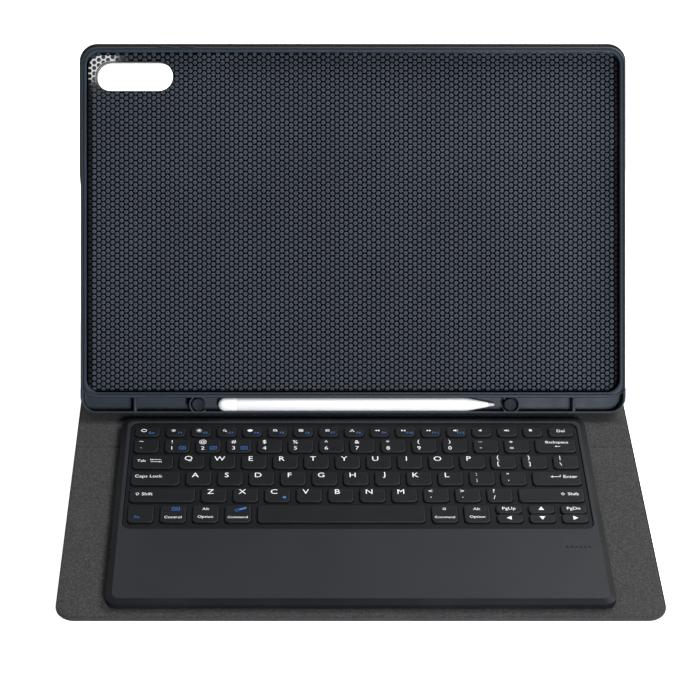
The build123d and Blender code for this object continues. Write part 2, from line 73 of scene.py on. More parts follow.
MM = 0.001
RIGHT = Vector((1, 0, 0))
JOINTS = {joint["name"]: joint for joint in frame["joints"]}


def hinge(name):
    """Where a hinge joint's axis runs, in metres."""
    return Vector(JOINTS[name]["pos_m"])


class Place:
    """The own frame of a flat panel."""

    def __init__(self, fold, up, axis_depth):
        self.up = up.normalized()
        self.out = RIGHT.cross(self.up)
        self.origin = fold - self.out * axis_depth * MM

    def at(self, x, y, z):
        """A point in the row frame, in metres, from millimetres in the panel's frame."""
        return self.origin + (RIGHT * x + self.up * y + self.out * z) * MM

    def local(self, point):
        """The panel's own millimetres of a point in the row frame."""
        offset = (Vector(point) - self.origin) / MM
        return (offset.x, offset.dot(self.up), offset.dot(self.out))


AXIS = hinge("cover_fold").z / MM
COVER = Place(Vector((0, 0, AXIS * MM)), Vector((0, 1, 0)), AXIS)
SPINE = Place(hinge("cover_fold"), Vector((0, 1, 0)), AXIS)
FOOT = Place(hinge("spine_fold"), Vector((0, 1, 0)), AXIS)
FOOT_END = Place(hinge("stand_fold"), Vector((0, 1, 0)), AXIS)
LEG = Place(hinge("stand_fold"), hinge("back_fold") - hinge("stand_fold"), AXIS)
LEG_END = Place(hinge("back_fold"), LEG.up, AXIS)
TRAY_UP = -Vector(JOINTS["power_pad_press"]["axis"])
TRAY = Place(hinge("back_fold"), TRAY_UP, AXIS)


def extent(node, place):
    """Lowest and highest corner of a CAD node in a place's own frame, in millimetres."""
    points = [place.local(vertex.co) for vertex in frame["nodes"][node].data.vertices]
    return tuple(map(min, zip(*points))), tuple(map(max, zip(*points)))


# ---- Sizes from the frame, millimetres ------------------------------------------------------
_, (FOLIO_HALF, _, THICK) = extent("cover_skin", COVER)
(_, COVER_FRONT, SKIN), (_, _, BOARD_TOP) = extent("cover_board", COVER)
COVER_FRONT -= SKIN
COVER_END = hinge("cover_fold").y / MM
SPINE_LENGTH = (hinge("spine_fold") - hinge("cover_fold")).length / MM
FOOT_LENGTH = (hinge("stand_fold") - hinge("spine_fold")).length / MM
LEG_LENGTH = (hinge("back_fold") - hinge("stand_fold")).length / MM
BACK_TOP = extent("back_skin", TRAY)[1][1]
LINING = THICK - BOARD_TOP
BOARD_SETBACK = extent("spine_board", SPINE)[0][1]
(_, TRAY_FOOT, TRAY_BACK), (TRAY_HALF, TRAY_TOP, STRIP_RIM) = extent("tray_shell", TRAY)

# sizes that the frame's boxes don't show
FOLIO_CORNER = 11.0
FOLD_REACH = BOARD_SETBACK - 0.1  # the soft strip's half width
TRAY_DEPTH = 8.3
TRAY_RIM = TRAY_BACK + TRAY_DEPTH
TRAY_CORNER = 10.5
TRAY_FLOOR = TRAY_BACK + 1.0
LIP_SIDE = 3.6
LIP_TOP = 3.2
OPENING_HEIGHT = 207.3
OPENING_CORNER = 8.0
OPENING_HALF = TRAY_HALF - LIP_SIDE
OPENING_TOP = TRAY_TOP - LIP_TOP
OPENING_FOOT = OPENING_TOP - OPENING_HEIGHT
OPENING_MIDDLE = (OPENING_TOP + OPENING_FOOT) / 2
SLOT = (47.0, 17.5)  # width and height of the camera opening
SLOT_INSET = (5.3, 5.2)  # from the tray's opening, at the left and above
SLOT_DRAFT = 0.2  # how much the camera opening widens towards the back
SLOT_X = -TRAY_HALF + LIP_SIDE + SLOT_INSET[0] + SLOT[0] / 2
SLOT_Y = OPENING_TOP - SLOT_INSET[1] - SLOT[1] / 2
STRIP_WALL = 1.3
STRIP_TOP = OPENING_FOOT - 3.3
STRIP_FOOT = TRAY_FOOT + STRIP_WALL
STRIP_MIDDLE = (STRIP_TOP + STRIP_FOOT) / 2
STRIP_FLOOR = TRAY_BACK + 1.0
STRIP_HALF = 164.1
STRIP_CORNER = 7.9
STRIP_BAND = 1.9  # width of the raised band above the pocket
CURL_START = 0.915  # share of the half width where the upper edge begins to curve up
CURL_RISE = 4.0
PEG_X = (-94.2, 95.7)
RIB_X = (-132.7, 134.3)  # ribs across the pen strip

(_, KB_FRONT, KB_LOW), (KB_HALF, KB_REAR, KB_TOP) = extent("keyboard_top_frame", COVER)
(_, DECK_FRONT, _), (DECK_HALF, DECK_REAR, _) = extent("key_deck", COVER)
DECK_GAP = 0.35


# ---- Materials ------------------------------------------------------------------------------


class Nodes:
    """Short ways to add nodes to a tree and to join them."""

    def __init__(self, tree):
        self.nodes, self.links = tree.nodes, tree.links

    def add(self, kind, output=0, inputs=None, **settings):
        """A new node's output; each input is a socket to link or a plain value."""
        node = self.nodes.new(f"ShaderNode{kind}")
        for name, value in settings.items():
            setattr(node, name, value)
        for name, value in (inputs or {}).items():
            if isinstance(value, bpy.types.NodeSocket):
                self.links.new(value, node.inputs[name])
            else:
                node.inputs[name].default_value = value
        return node.outputs[output]

    def ramp(self, value, low, high, to_low=0.0, to_high=1.0, **settings):
        """The value stretched so that low..high becomes to_low..to_high."""
        names = ("Value", "From Min", "From Max", "To Min", "To Max")
        numbers = (value, low, high, to_low, to_high)
        return self.add("MapRange", "Result", dict(zip(names, numbers)), **settings)


class Surface(Nodes):
    """A node material built up step by step around one principled shader."""

    def __init__(self, name, base, roughness):
        self.material = bpy.data.materials.new(name)
        self.material.use_nodes = True
        self.material.diffuse_color = (*base, 1)
        super().__init__(self.material.node_tree)
        self.shader = self.nodes["Principled BSDF"]
        self.set(Roughness=roughness)
        self.where = self.add("TexCoord", "Object")
        self.colour = self.add("RGB")
        self.colour.default_value = (*base, 1)
        self.bump = None

    def set(self, **values):
        """Plain values of the shader's inputs, named with spaces as underscores."""
        for name, value in values.items():
            self.shader.inputs[name.replace("_", " ")].default_value = value
        return self

    def noise(self, size, detail=3.0, stretch=(1, 1, 1)):
        """A noise pattern whose blotches are about `size` millimetres."""
        where = self.add("Mapping", inputs={"Scale": stretch, "Vector": self.where})
        look = {"Vector": where, "Scale": 1 / (size * MM), "Detail": detail, "Roughness": 0.6}
        return self.add("TexNoise", "Fac", look)

    def pebbles(self, size):
        """A cell pattern like leather grain: low in the creases between pebbles."""
        warp = self.add("TexNoise", "Color", {"Vector": self.where, "Scale": 0.4 / (size * MM)})
        shift = self.add("VectorMath", inputs={0: warp, "Scale": 0.8 * size * MM}, operation="SCALE")
        place = self.add("VectorMath", inputs={0: self.where, 1: shift})
        look = {"Vector": place, "Scale": 1 / (size * MM)}
        return self.ramp(self.add("TexVoronoi", "Distance", look, feature="DISTANCE_TO_EDGE"), 0.0, 0.28)

    def tint(self, mask, colour, amount=1.0):
        """Mixes a colour in where the mask is high."""
        inputs = {"Factor": self.ramp(mask, 0, 1, 0, amount), "A": self.colour, "B": (*colour, 1)}
        self.colour = self.add("Mix", "Result", inputs, data_type="RGBA")

    def cloud(self, size, low, high, colour, amount=1.0, detail=3.0):
        """Mixes a colour in by a noise pattern."""
        self.tint(self.ramp(self.noise(size, detail), low, high), colour, amount)

    def edges(self, colour, amount):
        """Lighter edges where the surface is convex: a painted highlight, partly also wear."""
        self.tint(self.ramp(self.add("NewGeometry", "Pointiness"), 0.52, 0.62), colour, amount)

    def walls(self, colour):
        """Painted shade: a darker colour on faces that don't lie flat."""
        upward = self.add("SeparateXYZ", "Z", {0: self.add("TexCoord", "Normal")})
        self.tint(self.ramp(upward, 0.9, 0.5), colour)

    def relief(self, height, depth):
        """Bump from a height pattern that is `depth` millimetres deep."""
        inputs = {"Distance": depth * MM, "Strength": 1.0, "Height": height}
        if self.bump is not None:
            inputs["Normal"] = self.bump
        self.bump = self.add("Bump", "Normal", inputs)

    def shine(self, mask, low, high):
        """Roughness that follows a pattern."""
        self.links.new(self.ramp(mask, 0.3, 0.7, low, high), self.shader.inputs["Roughness"])

    def done(self):
        """Joins up the colour and bump and gives the material."""
        self.links.new(self.colour, self.shader.inputs["Base Color"])
        if self.bump is not None:
            self.links.new(self.bump, self.shader.inputs["Normal"])
        return self.material


def leatherette():
    """Dark pebbled leatherette of the outer skin, paler on the pebbles than in the creases between them."""
    s = Surface("leatherette", (0.021, 0.022, 0.025), 0.55)
    grain = s.pebbles(0.85)
    s.cloud(60, 0.35, 0.65, (0.027, 0.028, 0.031))
    s.tint(grain, (0.030, 0.031, 0.034), 0.5)
    s.cloud(7, 0.55, 0.8, (0.036, 0.037, 0.040), 0.5)
    s.shine(grain, 0.66, 0.48)
    s.relief(grain, 0.09)
    s.relief(s.noise(0.25), 0.02)
    return s.set(Specular_IOR_Level=0.28).done()


def suede():
    """Brushed grey microfibre, mottled where the nap lies differently."""
    s = Surface("suede", (0.016, 0.016, 0.0157), 0.95)
    nap, fibres, tufts = s.noise(2.2, 6), s.noise(0.3, 3, (1, 0.5, 1)), s.noise(1.0, 2)
    s.tint(s.ramp(nap, 0.40, 0.62), (0.027, 0.0268, 0.0265), 0.6)
    s.cloud(28, 0.45, 0.7, (0.026, 0.0258, 0.0255), 0.6)
    s.tint(s.ramp(fibres, 0.46, 0.62), (0.062, 0.061, 0.060), 0.55)
    s.tint(s.ramp(tufts, 0.48, 0.60), (0.075, 0.074, 0.073), 0.5)
    s.relief(fibres, 0.12)
    s.relief(tufts, 0.14)
    s.relief(nap, 0.08)
    return s.set(Sheen_Weight=0.12, Sheen_Roughness=0.5, Specular_IOR_Level=0.15).done()


def plastic(name, base, roughness, specular, clouds, grain, edge=None, gloss=None, wall=None, **values):
    """A material of clouded tones, with fine grain and, if asked, a painted highlight on its edges, uneven
    gloss and painted shade on its walls.

    clouds are arguments of Surface.cloud, grain is (size, depth, detail) and gloss is (size, low, high).
    """
    s = Surface(name, base, roughness)
    for cloud in clouds:
        s.cloud(*cloud)
    if edge:
        s.edges(*edge)
    if wall:
        s.walls(wall)
    if gloss:
        s.shine(s.noise(gloss[0]), *gloss[1:])
    size, depth, detail = grain
    s.relief(s.noise(size, detail), depth)
    return s.set(Specular_IOR_Level=specular, **values).done()


def ink(name, colour):
    """Printed legend ink, a little uneven."""
    worn = tuple(0.82 * c for c in colour)
    return plastic(name, colour, 0.6, 0.5, [(0.6, 0.45, 0.8, worn, 0.6)], (0.15, 0.01, 3))


def moulded(name, base, roughness, grain=0.3, metallic=0.0):
    """A plain moulded, cut or rolled material for parts that are mostly hidden."""
    darker = tuple(0.8 * c for c in base)
    # the lighter convex edges are a painted highlight, partly also wear
    edge = (tuple(min(1.3 * c, 1) for c in base), 0.4)
    specular = 0.5 if metallic else 0.2
    clouds = [(8, 0.4, 0.7, darker)]
    return plastic(name, base, roughness, specular, clouds, (grain, 0.02, 2), edge, Metallic=metallic)


# a faint glow that keeps the stylus pure white: painted light
STYLUS_GLOW = {"Emission_Color": (1, 1, 1, 1), "Emission_Strength": 0.18}
MATERIALS = {
    "leather": leatherette(),
    "suede": suede(),
    # satin slate-grey flexible plastic of the tray, with a painted highlight on its convex edges
    "shell": plastic(
        "soft_shell", (0.0175, 0.026, 0.037), 0.40, 0.24,
        [(35, 0.4, 0.65, (0.022, 0.030, 0.041))], (0.22, 0.012, 2),
        ((0.055, 0.070, 0.085), 0.5), (9, 0.40, 0.50),
    ),
    # matt tops of the honeycomb's cells, and the smooth, near-black, glossy floor between them
    "cell": plastic(
        "cell_top", (0.043, 0.053, 0.066), 0.62, 0.3,
        [(90, 0.4, 0.62, (0.036, 0.044, 0.056)), (1.1, 0.5, 0.8, (0.075, 0.09, 0.115), 0.5)], (0.3, 0.02, 3),
    ),
    "groove": plastic(
        "cell_groove", (0.0008, 0.0018, 0.0035), 0.05, 0.75,
        [(12, 0.45, 0.7, (0.0015, 0.003, 0.005))], (14, 0.002, 1),
    ),
    # charcoal plastic of the keyboard's casing, with a fine spark-eroded texture
    "casing": plastic(
        "keyboard_casing", (0.0125, 0.0145, 0.0175), 0.50, 0.2,
        [(70, 0.38, 0.66, (0.0155, 0.0175, 0.0205)), (0.2, 0.5, 0.8, (0.022, 0.025, 0.028), 0.35, 2)],
        (0.2, 0.02, 2), gloss=(18, 0.46, 0.56),
    ),
    # near-black key caps, a little shinier where fingers touch, with a painted highlight on their edges
    "key": plastic(
        "key_plastic", (0.0045, 0.0056, 0.0070), 0.45, 0.17,
        [(11, 0.4, 0.7, (0.0060, 0.0072, 0.0088))], (0.18, 0.015, 2),
        ((0.045, 0.048, 0.052), 0.6), (6, 0.42, 0.56),
    ),
    # the darker band round the keyboard's edge, painted shade on its bevel and walls with a faint painted
    # highlight on its edges, and the plate between the keys, the walls of its windows painted near-black as
    # shade
    "rim": plastic(
        "rim_painted_shade", (0.0050, 0.0058, 0.0074), 0.45, 0.12,
        [(40, 0.4, 0.7, (0.0085, 0.0098, 0.0118))], (0.2, 0.012, 2), ((0.02, 0.022, 0.025), 0.3),
    ),
    "deck": plastic(
        "deck_plastic", (0.0048, 0.0055, 0.0065), 0.5, 0.12,
        [(30, 0.4, 0.7, (0.0062, 0.0070, 0.0080))], (0.2, 0.02, 2), wall=(0.0005, 0.0006, 0.0008),
    ),
    # smooth white plastic with a faint satin grain, and a faint glow of its own, which is painted light
    "stylus": plastic(
        "stylus_white", (0.96, 0.96, 0.96), 0.28, 0.5,
        [(20, 0.4, 0.7, (0.93, 0.935, 0.94), 0.7)], (0.3, 0.004, 2), gloss=(4, 0.24, 0.34),
        Coat_Weight=0.25, Coat_Roughness=0.15, **STYLUS_GLOW,
    ),
    "white_ink": ink("white_ink", (0.86, 0.86, 0.86)),
    "blue_ink": ink("blue_ink", (0.026, 0.14, 0.45)),
    # near-black sides of the keys and dark faces of the cells: painted shade
    "shaded_skirt": moulded("key_skirt", (0.0015, 0.0018, 0.0022), 0.6),
    "nib": moulded("stylus_nib", (0.75, 0.75, 0.76), 0.4),
    "board": moulded("grey_board", (0.30, 0.27, 0.24), 0.9),
    "magnet": moulded("nickel", (0.62, 0.61, 0.58), 0.25, 0.2, 1.0),
    "steel": moulded("plated_steel", (0.55, 0.55, 0.56), 0.35, 0.4, 1.0),
    "film": moulded("membrane_film", (0.30, 0.34, 0.32), 0.35),
    # near-black, so that the gaps between the keys look dark: painted shade in part
    "silicone": moulded("silicone", (0.012, 0.012, 0.013), 0.6),
    "circuit": moulded("solder_mask", (0.01, 0.09, 0.04), 0.35),
    "pouch": moulded("battery_pouch", (0.55, 0.56, 0.58), 0.32, 1.2, 0.9),
    "peg": moulded("peg_rubber", (0.009, 0.0125, 0.018), 0.6),
    "rubber": moulded("foot_rubber", (0.02, 0.02, 0.02), 0.8),
    "lamp": moulded("lamp_guide", (0.004, 0.005, 0.006), 0.5),
    "socket": moulded("dark_steel", (0.05, 0.05, 0.055), 0.4, 0.3, 1.0),
}

# ---- Shapes ---------------------------------------------------------------------------------


def rounded(half_x, y0, y1, z, low, high, x=0.0, steps=6):
    """A rounded rectangle at height z; low and high are the corner radii at its two ends."""
    low, high = max(low, 0.02), max(high, 0.02)
    corners = (
        (half_x - low, y0 + low, low, -90),
        (half_x - high, y1 - high, high, 0),
        (high - half_x, y1 - high, high, 90),
        (low - half_x, y0 + low, low, 180),
    )
    points = []
    for cx, cy, radius, start in corners:
        for k in range(steps + 1):
            a = math.radians(start + 90 * k / steps)
            points.append((x + cx + radius * math.cos(a), cy + radius * math.sin(a), z))
    return points


def circle(x, y, z, radius, steps=24):
    """A circle at height z."""
    turns = [2 * math.pi * k / steps for k in range(steps)]
    return [(x + radius * math.cos(a), y + radius * math.sin(a), z) for a in turns]


def sideways(outline, x):
    """An outline of (y, z) points, stood up at x."""
    return [(x, y, z) for y, z, _ in outline]


def upright(outline, y):
    """An outline of (x, z) points, stood up at y."""
    return [(x, y, z) for x, z, _ in outline]


def scene_object(name, data):
    """A new object in the scene."""
    thing = bpy.data.objects.new(name, data)
    bpy.context.scene.collection.objects.link(thing)
    return thing


class Shape:
    """Vertices and faces gathered in a place's own millimetres, then built as one piece."""

    def __init__(self):
        self.points = []
        self.faces = []
        self.slots = []

    def face(self, indices, slot=0):
        self.faces.append(tuple(indices))
        self.slots.append(slot)

    def loft(self, rings, caps=True, slot=0):
        """Joins rings of equal length; caps closes both ends, or only the "low" or the "high" one."""
        base, count = len(self.points), len(rings[0])
        for ring in rings:
            self.points.extend(ring)
        for a in range(base, base + (len(rings) - 1) * count, count):
            b = a + count
            for i in range(count):
                j = (i + 1) % count
                self.face((a + i, a + j, b + j, b + i), slot)
        if caps in (True, "low"):
            self.face([base + i for i in reversed(range(count))], slot)
        if caps in (True, "high"):
            self.face([len(self.points) - count + i for i in range(count)], slot)
        return self

    def add(self, points, faces, slot=0):
        base = len(self.points)
        self.points.extend(points)
        for face in faces:
            self.face([base + i for i in face], slot)
        return self

    def build(self, name, place, materials, slot, angle=38):
        """The shape as an object with smooth shading below the given edge angle."""
        mesh = bpy.data.meshes.new(name)
        mesh.from_pydata([place.at(*p) for p in self.points], [], self.faces)
        for material in materials:
            mesh.materials.append(MATERIALS[material])
        mesh.polygons.foreach_set("material_index", self.slots)
        model = bmesh.new()
        model.from_mesh(mesh)
        bmesh.ops.remove_doubles(model, verts=model.verts, dist=1e-7)
        bmesh.ops.recalc_face_normals(model, faces=model.faces)
        model.to_mesh(mesh)
        model.free()
        piece = scene_object(name, mesh)
        smooth(piece, angle)
        return piece


def smooth(piece, angle=38):
    """Smooth shading, with creases kept at edges sharper than the angle."""
    piece.data.polygons.foreach_set("use_smooth", [True] * len(piece.data.polygons))
    piece.data.set_sharp_from_angle(angle=math.radians(angle))


def cut(piece, cutters, place):
    """Cuts closed shapes out of a piece."""
    for number, cutter in enumerate(cutters):
        tool = cutter.build(f"cutter_{number}", place, [], "board")
        modifier = piece.modifiers.new("cut", "BOOLEAN")
        modifier.object = tool
        modifier.operation = "DIFFERENCE"
        modifier.solver = "EXACT"
        apply_modifiers(piece)
        bpy.data.objects.remove(tool)
    smooth(piece)
    even_normals(piece)
    return piece


def even_normals(piece):
    """Large faces set the normals at their edges, so a flat face looks flat up to its fillets."""
    modifier = piece.modifiers.new("normals", "WEIGHTED_NORMAL")
    modifier.keep_sharp = True
    modifier.weight = 100
    apply_modifiers(piece, preserve_all_data_layers=True)


def apply_modifiers(piece, **options):
    """Writes a piece's modifiers into its mesh."""
    graph = bpy.context.evaluated_depsgraph_get()
    result = bpy.data.meshes.new_from_object(piece.evaluated_get(graph), depsgraph=graph, **options)
    piece.modifiers.clear()
    piece.data = result


def settle(piece, body, node=""):
    """Makes a piece ride a body and, if a node is named, stand in for it."""
    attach(piece, body)
    if node:
        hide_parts(node)


def slot_outline(x, y, width, height, z, steps=12):
    """A slot with round ends, at height z."""
    radius = height / 2
    reach = width / 2 - radius
    points = []
    for centre, start in ((x + reach, -90), (x - reach, 90)):
        for k in range(steps + 1):
            a = math.radians(start + 180 * k / steps)
            points.append((centre + radius * math.cos(a), y + radius * math.sin(a), z))
    return points


def camera_cutter(z0, z1, start=0.0):
    """The camera opening as a cutter between two heights, wider at the back, its front rim soft."""
    soft = 0.5
    wide = SLOT_DRAFT * (z1 - z0)
    rings = [(z0 - 1, wide), (z0, wide), (z1 - soft, 0), (z1, soft), (z1 + 1, soft)]
    grown = [(z, 2 * (start + flare)) for z, flare in rings]
    return Shape().loft([slot_outline(SLOT_X, SLOT_Y, SLOT[0] + g, SLOT[1] + g, z) for z, g in grown])


# ---- Folio ----------------------------------------------------------------------------------
# The skin's section at a free edge: inset from the outline and height, from under to the rim.
EDGE_SECTION = (
    (1.30, 0.00), (0.75, 0.07), (0.33, 0.30), (0.08, 0.72), (0.00, 1.30),
    (0.05, 1.85), (0.20, 2.30), (0.42, 2.56), (0.66, 2.62), (0.86, 2.52),
)
RIM = EDGE_SECTION[-1][0]
FAR = 1e6
REST_GROOVE_Y = 30.0
REST_RIDGE_Y = 41.5
CREASE_Z = 0.22  # how far the skin dips in at a fold line
STRIP_THICKNESS = SKIN + LINING
LINING_TOP = THICK - 0.04  # a hair below the CAD's lining, so that the suede's waves stay clear


def panel_skin(name, place, y0, y1, free=""):
    """One panel's leatherette, turned up round its edges; free names the end with round corners."""
    low, high = (FOLIO_CORNER if free == end else 0 for end in ("low", "high"))

    def ring(inset, at_fold, z):
        """The panel's outline at one height, drawn in at its free edges."""
        low_end = y0 + (inset if free == "low" else at_fold)
        high_end = y1 - (inset if free == "high" else at_fold)
        return rounded(FOLIO_HALF - inset, low_end, high_end, z, low - inset, high - inset, steps=12)

    rings = [ring(inset, 0, z) for inset, z in EDGE_SECTION]
    rings.append(ring(RIM, 0.35, EDGE_SECTION[-1][1] - 0.05))
    rings.append(ring(RIM, 0.35, SKIN))
    return Shape().loft(rings).build(name, place, ["leather"], "leather_skin")


def outline_distance(x, y, y0, y1, free):
    """How far a point lies inside the lining's outline, not counting the fold ends."""
    half = FOLIO_HALF - RIM
    radius = FOLIO_CORNER - RIM
    to_side = half - abs(x)
    to_end = (y - y0 - RIM) if free == "low" else (y1 - RIM - y) if free == "high" else FAR
    if to_side < radius and to_end < radius:
        return radius - math.hypot(radius - to_side, radius - to_end)
    return min(to_side, to_end)


def panel_lining(name, place, y0, y1, free="", relief=None):
    """One panel's suede: a sheet whose free edges are pressed down against the turned-up skin."""
    half, radius = FOLIO_HALF - RIM, FOLIO_CORNER - RIM
    low = y0 + (RIM if free == "low" else 0)
    high = y1 - (RIM if free == "high" else 0)

    def to_free_end(y):
        return y - low if free == "low" else high - y if free == "high" else FAR

    rows = []
    y = low
    while y < high - 1e-6:
        rows.append(y)
        near = to_free_end(y)
        marked = relief and abs(y - REST_GROOVE_Y - 1) < 6
        y += 0.35 if near < 1.5 or marked else 0.8 if near < radius else 2.2
    rows.append(high)
    across = [0, 0.4, 0.9, 1.6, 4] + [4 + 3.2 * k for k in range(1, 200)]
    sides = [half - s for s in across if s < half - 1]
    columns = [c / half for c in sorted(sides + [0.0] + [-s for s in sides])]

    def half_width(y):
        near = min(to_free_end(y), radius)
        return half - radius + math.sqrt(max(radius**2 - (radius - near) ** 2, 0.0))

    count = len(columns)
    top, bottom = [], []
    for y in rows:
        for c in columns:
            x = c * half_width(y)
            press = max(0.0, 1 - outline_distance(x, y, y0, y1, free) / 1.3)
            z = LINING_TOP - 0.32 * press**2 + 0.03 * noise.noise(Vector((x, y, 3.0)) / 17)
            if relief:
                z += relief(x, y)
            top.append((x, y, z))
            bottom.append((x, y, BOARD_TOP + 0.01))
    shape = Shape()
    shape.points = top + bottom
    below = len(top)
    for row in range(len(rows) - 1):
        for a in range(row * count, row * count + count - 1):
            quad = (a, a + 1, a + count + 1, a + count)
            shape.face(quad)
            shape.face([below + i for i in reversed(quad)])
    around = list(range(count))
    around += [r * count + count - 1 for r in range(1, len(rows))]
    around += [(len(rows) - 1) * count + c for c in reversed(range(count - 1))]
    around += [r * count for r in reversed(range(1, len(rows) - 1))]
    for a, b in zip(around, around[1:] + around[:1]):
        shape.face((a, below + a, below + b, b))
    return shape.build(name, place, ["suede"], "suede_lining", 60)


def fold_pieces(name, place, turn):
    """The soft strips of skin and lining across a fold, bent as far as the stand's rest pose.

    place has its y = 0 on the fold line and lies on the first panel; turn is in radians.
    """
    hold = 0.4 if turn > 0 else 1.0  # a fold that closes on the lining bends in a narrower band
    swing = cmath.exp(1j * turn)
    start = -hold * FOLD_REACH
    way = hold * FOLD_REACH * swing - start

    def bent(x, s, z):
        flat = complex(s, z - AXIS)
        share = 0.5 + 0.5 * s / FOLD_REACH
        for _ in range(30):
            point = flat * (1 - share + share * swing)
            t = min(max(((point - start) * way.conjugate()).real / abs(way) ** 2, 0), 1)
            share = 0.5 * (share + t * t * (3 - 2 * t))
        return (x, point.real, AXIS + point.imag)

    stations = [FOLD_REACH * (k / 12 - 1) for k in range(25)]
    skins, linings = [], []
    for s in stations:
        share = 0.5 + 0.5 * math.cos(math.pi * s / FOLD_REACH)  # 1 on the fold line, 0 at the boards
        under = CREASE_Z * share**2
        top = LINING_TOP - (LINING_TOP - STRIP_THICKNESS - 0.1) * share**0.7
        side = [(inset, under + (top - under) * z / THICK) for inset, z in EDGE_SECTION]
        profile = side + [(RIM, under + SKIN - 0.15)]
        loop = [(FOLIO_HALF - inset, z) for inset, z in profile]
        loop += [(inset - FOLIO_HALF, z) for inset, z in reversed(profile)]
        skins.append([bent(x, s, z) for x, z in loop])
        edge = FOLIO_HALF - RIM
        felt = [(edge, top - LINING), (edge, top - 0.3), (edge - 0.45, top - 0.07), (edge - 1.3, top)]
        loop = felt + [(-x, z) for x, z in reversed(felt)]
        linings.append([bent(x, s, z) for x, z in loop])
    end = hold * FOLD_REACH * swing
    ends = {"start": place.at(0, start, AXIS), "end": place.at(0, end.real, AXIS + end.imag)}
    skin = Shape().loft(skins).build(f"{name}_skin", place, ["leather"], "leather_skin", 50)
    lining = Shape().loft(linings).build(f"{name}_lining", place, ["suede"], "suede_lining", 50)
    for piece in (skin, lining):
        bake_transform(piece)


def cover_relief(x, y):
    """Soft marks pressed in the cover's lining: a rest groove and a low ridge in front of the tray."""
    wave = y - REST_GROOVE_Y - 0.25 * noise.noise(Vector((x / 9, 0, 5)))
    groove = -0.42 * math.exp(-((wave / 0.95) ** 2))
    lips = 0.10 * math.exp(-(((wave - 2.6) / 1.3) ** 2)) + 0.05 * math.exp(-(((wave + 2.4) / 1.3) ** 2))
    ridge = 0.12 * math.exp(-(((y - REST_RIDGE_Y) / 3.5) ** 2))
    return groove + lips + ridge


def build_folio():
    """The five panels and four folds."""
    angle_leg = math.atan2(LEG.up.z, LEG.up.y)
    angle_tray = math.atan2(TRAY.up.z, TRAY.up.y)
    reach = FOLD_REACH
    panels = (
        ("cover", COVER, COVER_FRONT, COVER_END - reach, "low", cover_relief),
        ("spine", SPINE, reach, SPINE_LENGTH - reach, "", None),
        ("foot", FOOT, reach, FOOT_LENGTH - reach, "", None),
        ("leg", LEG, reach, LEG_LENGTH - reach, "", None),
        ("back", TRAY, reach, BACK_TOP, "high", None),
    )
    for name, place, y0, y1, free, relief in panels:
        skin = panel_skin(f"{name}_leather", place, y0, y1, free)
        lining = panel_lining(f"{name}_suede", place, y0, y1, free, relief)
        for piece, part in ((skin, "skin"), (lining, "lining")):
            if name == "back":
                cut(piece, [camera_cutter(0, THICK, 0.4)], place)
            settle(piece, "tray" if name == "back" else name, f"{name}_{part}")
    folds = (
        ("cover_fold", SPINE, 0.0, ("cover", "spine")),
        ("spine_fold", FOOT, 0.0, ("spine", "foot")),
        ("stand_fold", FOOT_END, angle_leg, ("foot", "leg")),
        ("back_fold", LEG_END, angle_tray - angle_leg, ("leg", "tray")),
    )
    for name, place, turn, bodies in folds:
        fold_pieces(name, place, turn)


# ---- Tray -----------------------------------------------------------------------------------


def tray_ring(outward, z):
    """The tray's outline between its outer wall (0) and its opening (1), at height z.

    The foot of the outline ends inside the pen strip.
    """
    strip_seam = STRIP_TOP + 1.2
    half = TRAY_HALF - LIP_SIDE * outward
    top = TRAY_TOP - LIP_TOP * outward
    foot = strip_seam + (OPENING_FOOT - strip_seam) * outward
    corner = TRAY_CORNER + (OPENING_CORNER - TRAY_CORNER) * outward
    foot_corner = 1.5 + (OPENING_CORNER - 1.5) * outward
    return rounded(half, foot, top, z, foot_corner, corner, steps=10)


def build_tray_walls():
    """Floor, walls and lip of the tray, with the camera opening and the openings in the walls."""
    rim = TRAY_RIM
    pocket = 0.75  # of the lip's width: the wall is thin and the lip reaches in over the tablet
    section = (
        (0.30, TRAY_BACK), (0.08, TRAY_BACK + 0.15), (0.0, TRAY_BACK + 0.7), (0.0, TRAY_BACK + 4.0),
        (0.0, rim - 1.5), (0.03, rim - 0.9), (0.11, rim - 0.4), (0.22, rim - 0.12), (0.33, rim - 0.05),
        (0.41, rim - 0.22), (0.46, rim - 0.62), (0.52, rim - 0.20), (0.68, rim), (0.84, rim - 0.03),
        (0.94, rim - 0.16), (1.0, rim - 0.5), (1.0, rim - 1.0), (0.97, rim - 1.25), (0.90, rim - 1.3),
        (pocket, rim - 1.35), (pocket, TRAY_FLOOR + 0.4), (pocket + 0.08, TRAY_FLOOR),
        (pocket + 0.3, TRAY_FLOOR),
    )
    shell = Shape().loft([tray_ring(share, z) for share, z in section])
    piece = shell.build("tray_walls", TRAY, ["shell"], "soft_shell", 45)
    cutters = [camera_cutter(TRAY_BACK, TRAY_FLOOR)]
    cutters.append(Shape().loft([strip_ring(0.5, z) for z in (STRIP_FLOOR - 0.4, STRIP_RIM + 1)]))
    cutters += [port_cutter(*port) for port in edge_ports()]
    cutters += [window_cutter(*ends) for ends in top_windows()]
    cutters += [notch_cutter(*ends) for ends in top_windows()[1:]]
    cut(piece, cutters, TRAY)
    settle(piece, "tray", "tray_shell")


PORT_Z = (TRAY_FLOOR + 0.9, TRAY_FLOOR + 5.1)  # heights of the openings in the side walls
SPEAKER = (26.0, 62.0)  # length, and distance from the wall's middle
CHARGE_LENGTH = 13.0
MICROPHONE = (-90.7, -69.6)  # from x to x
PAD_GAP = 0.15
NOTCH_DEPTH = 0.8


def edge_ports():
    """(side, y, length) of each opening in the left and right walls."""
    length, offset = SPEAKER
    ports = [(1, OPENING_MIDDLE, CHARGE_LENGTH)]
    for y in (OPENING_MIDDLE + offset, OPENING_MIDDLE - offset):
        ports += [(1, y, length), (-1, y, length)]
    return ports


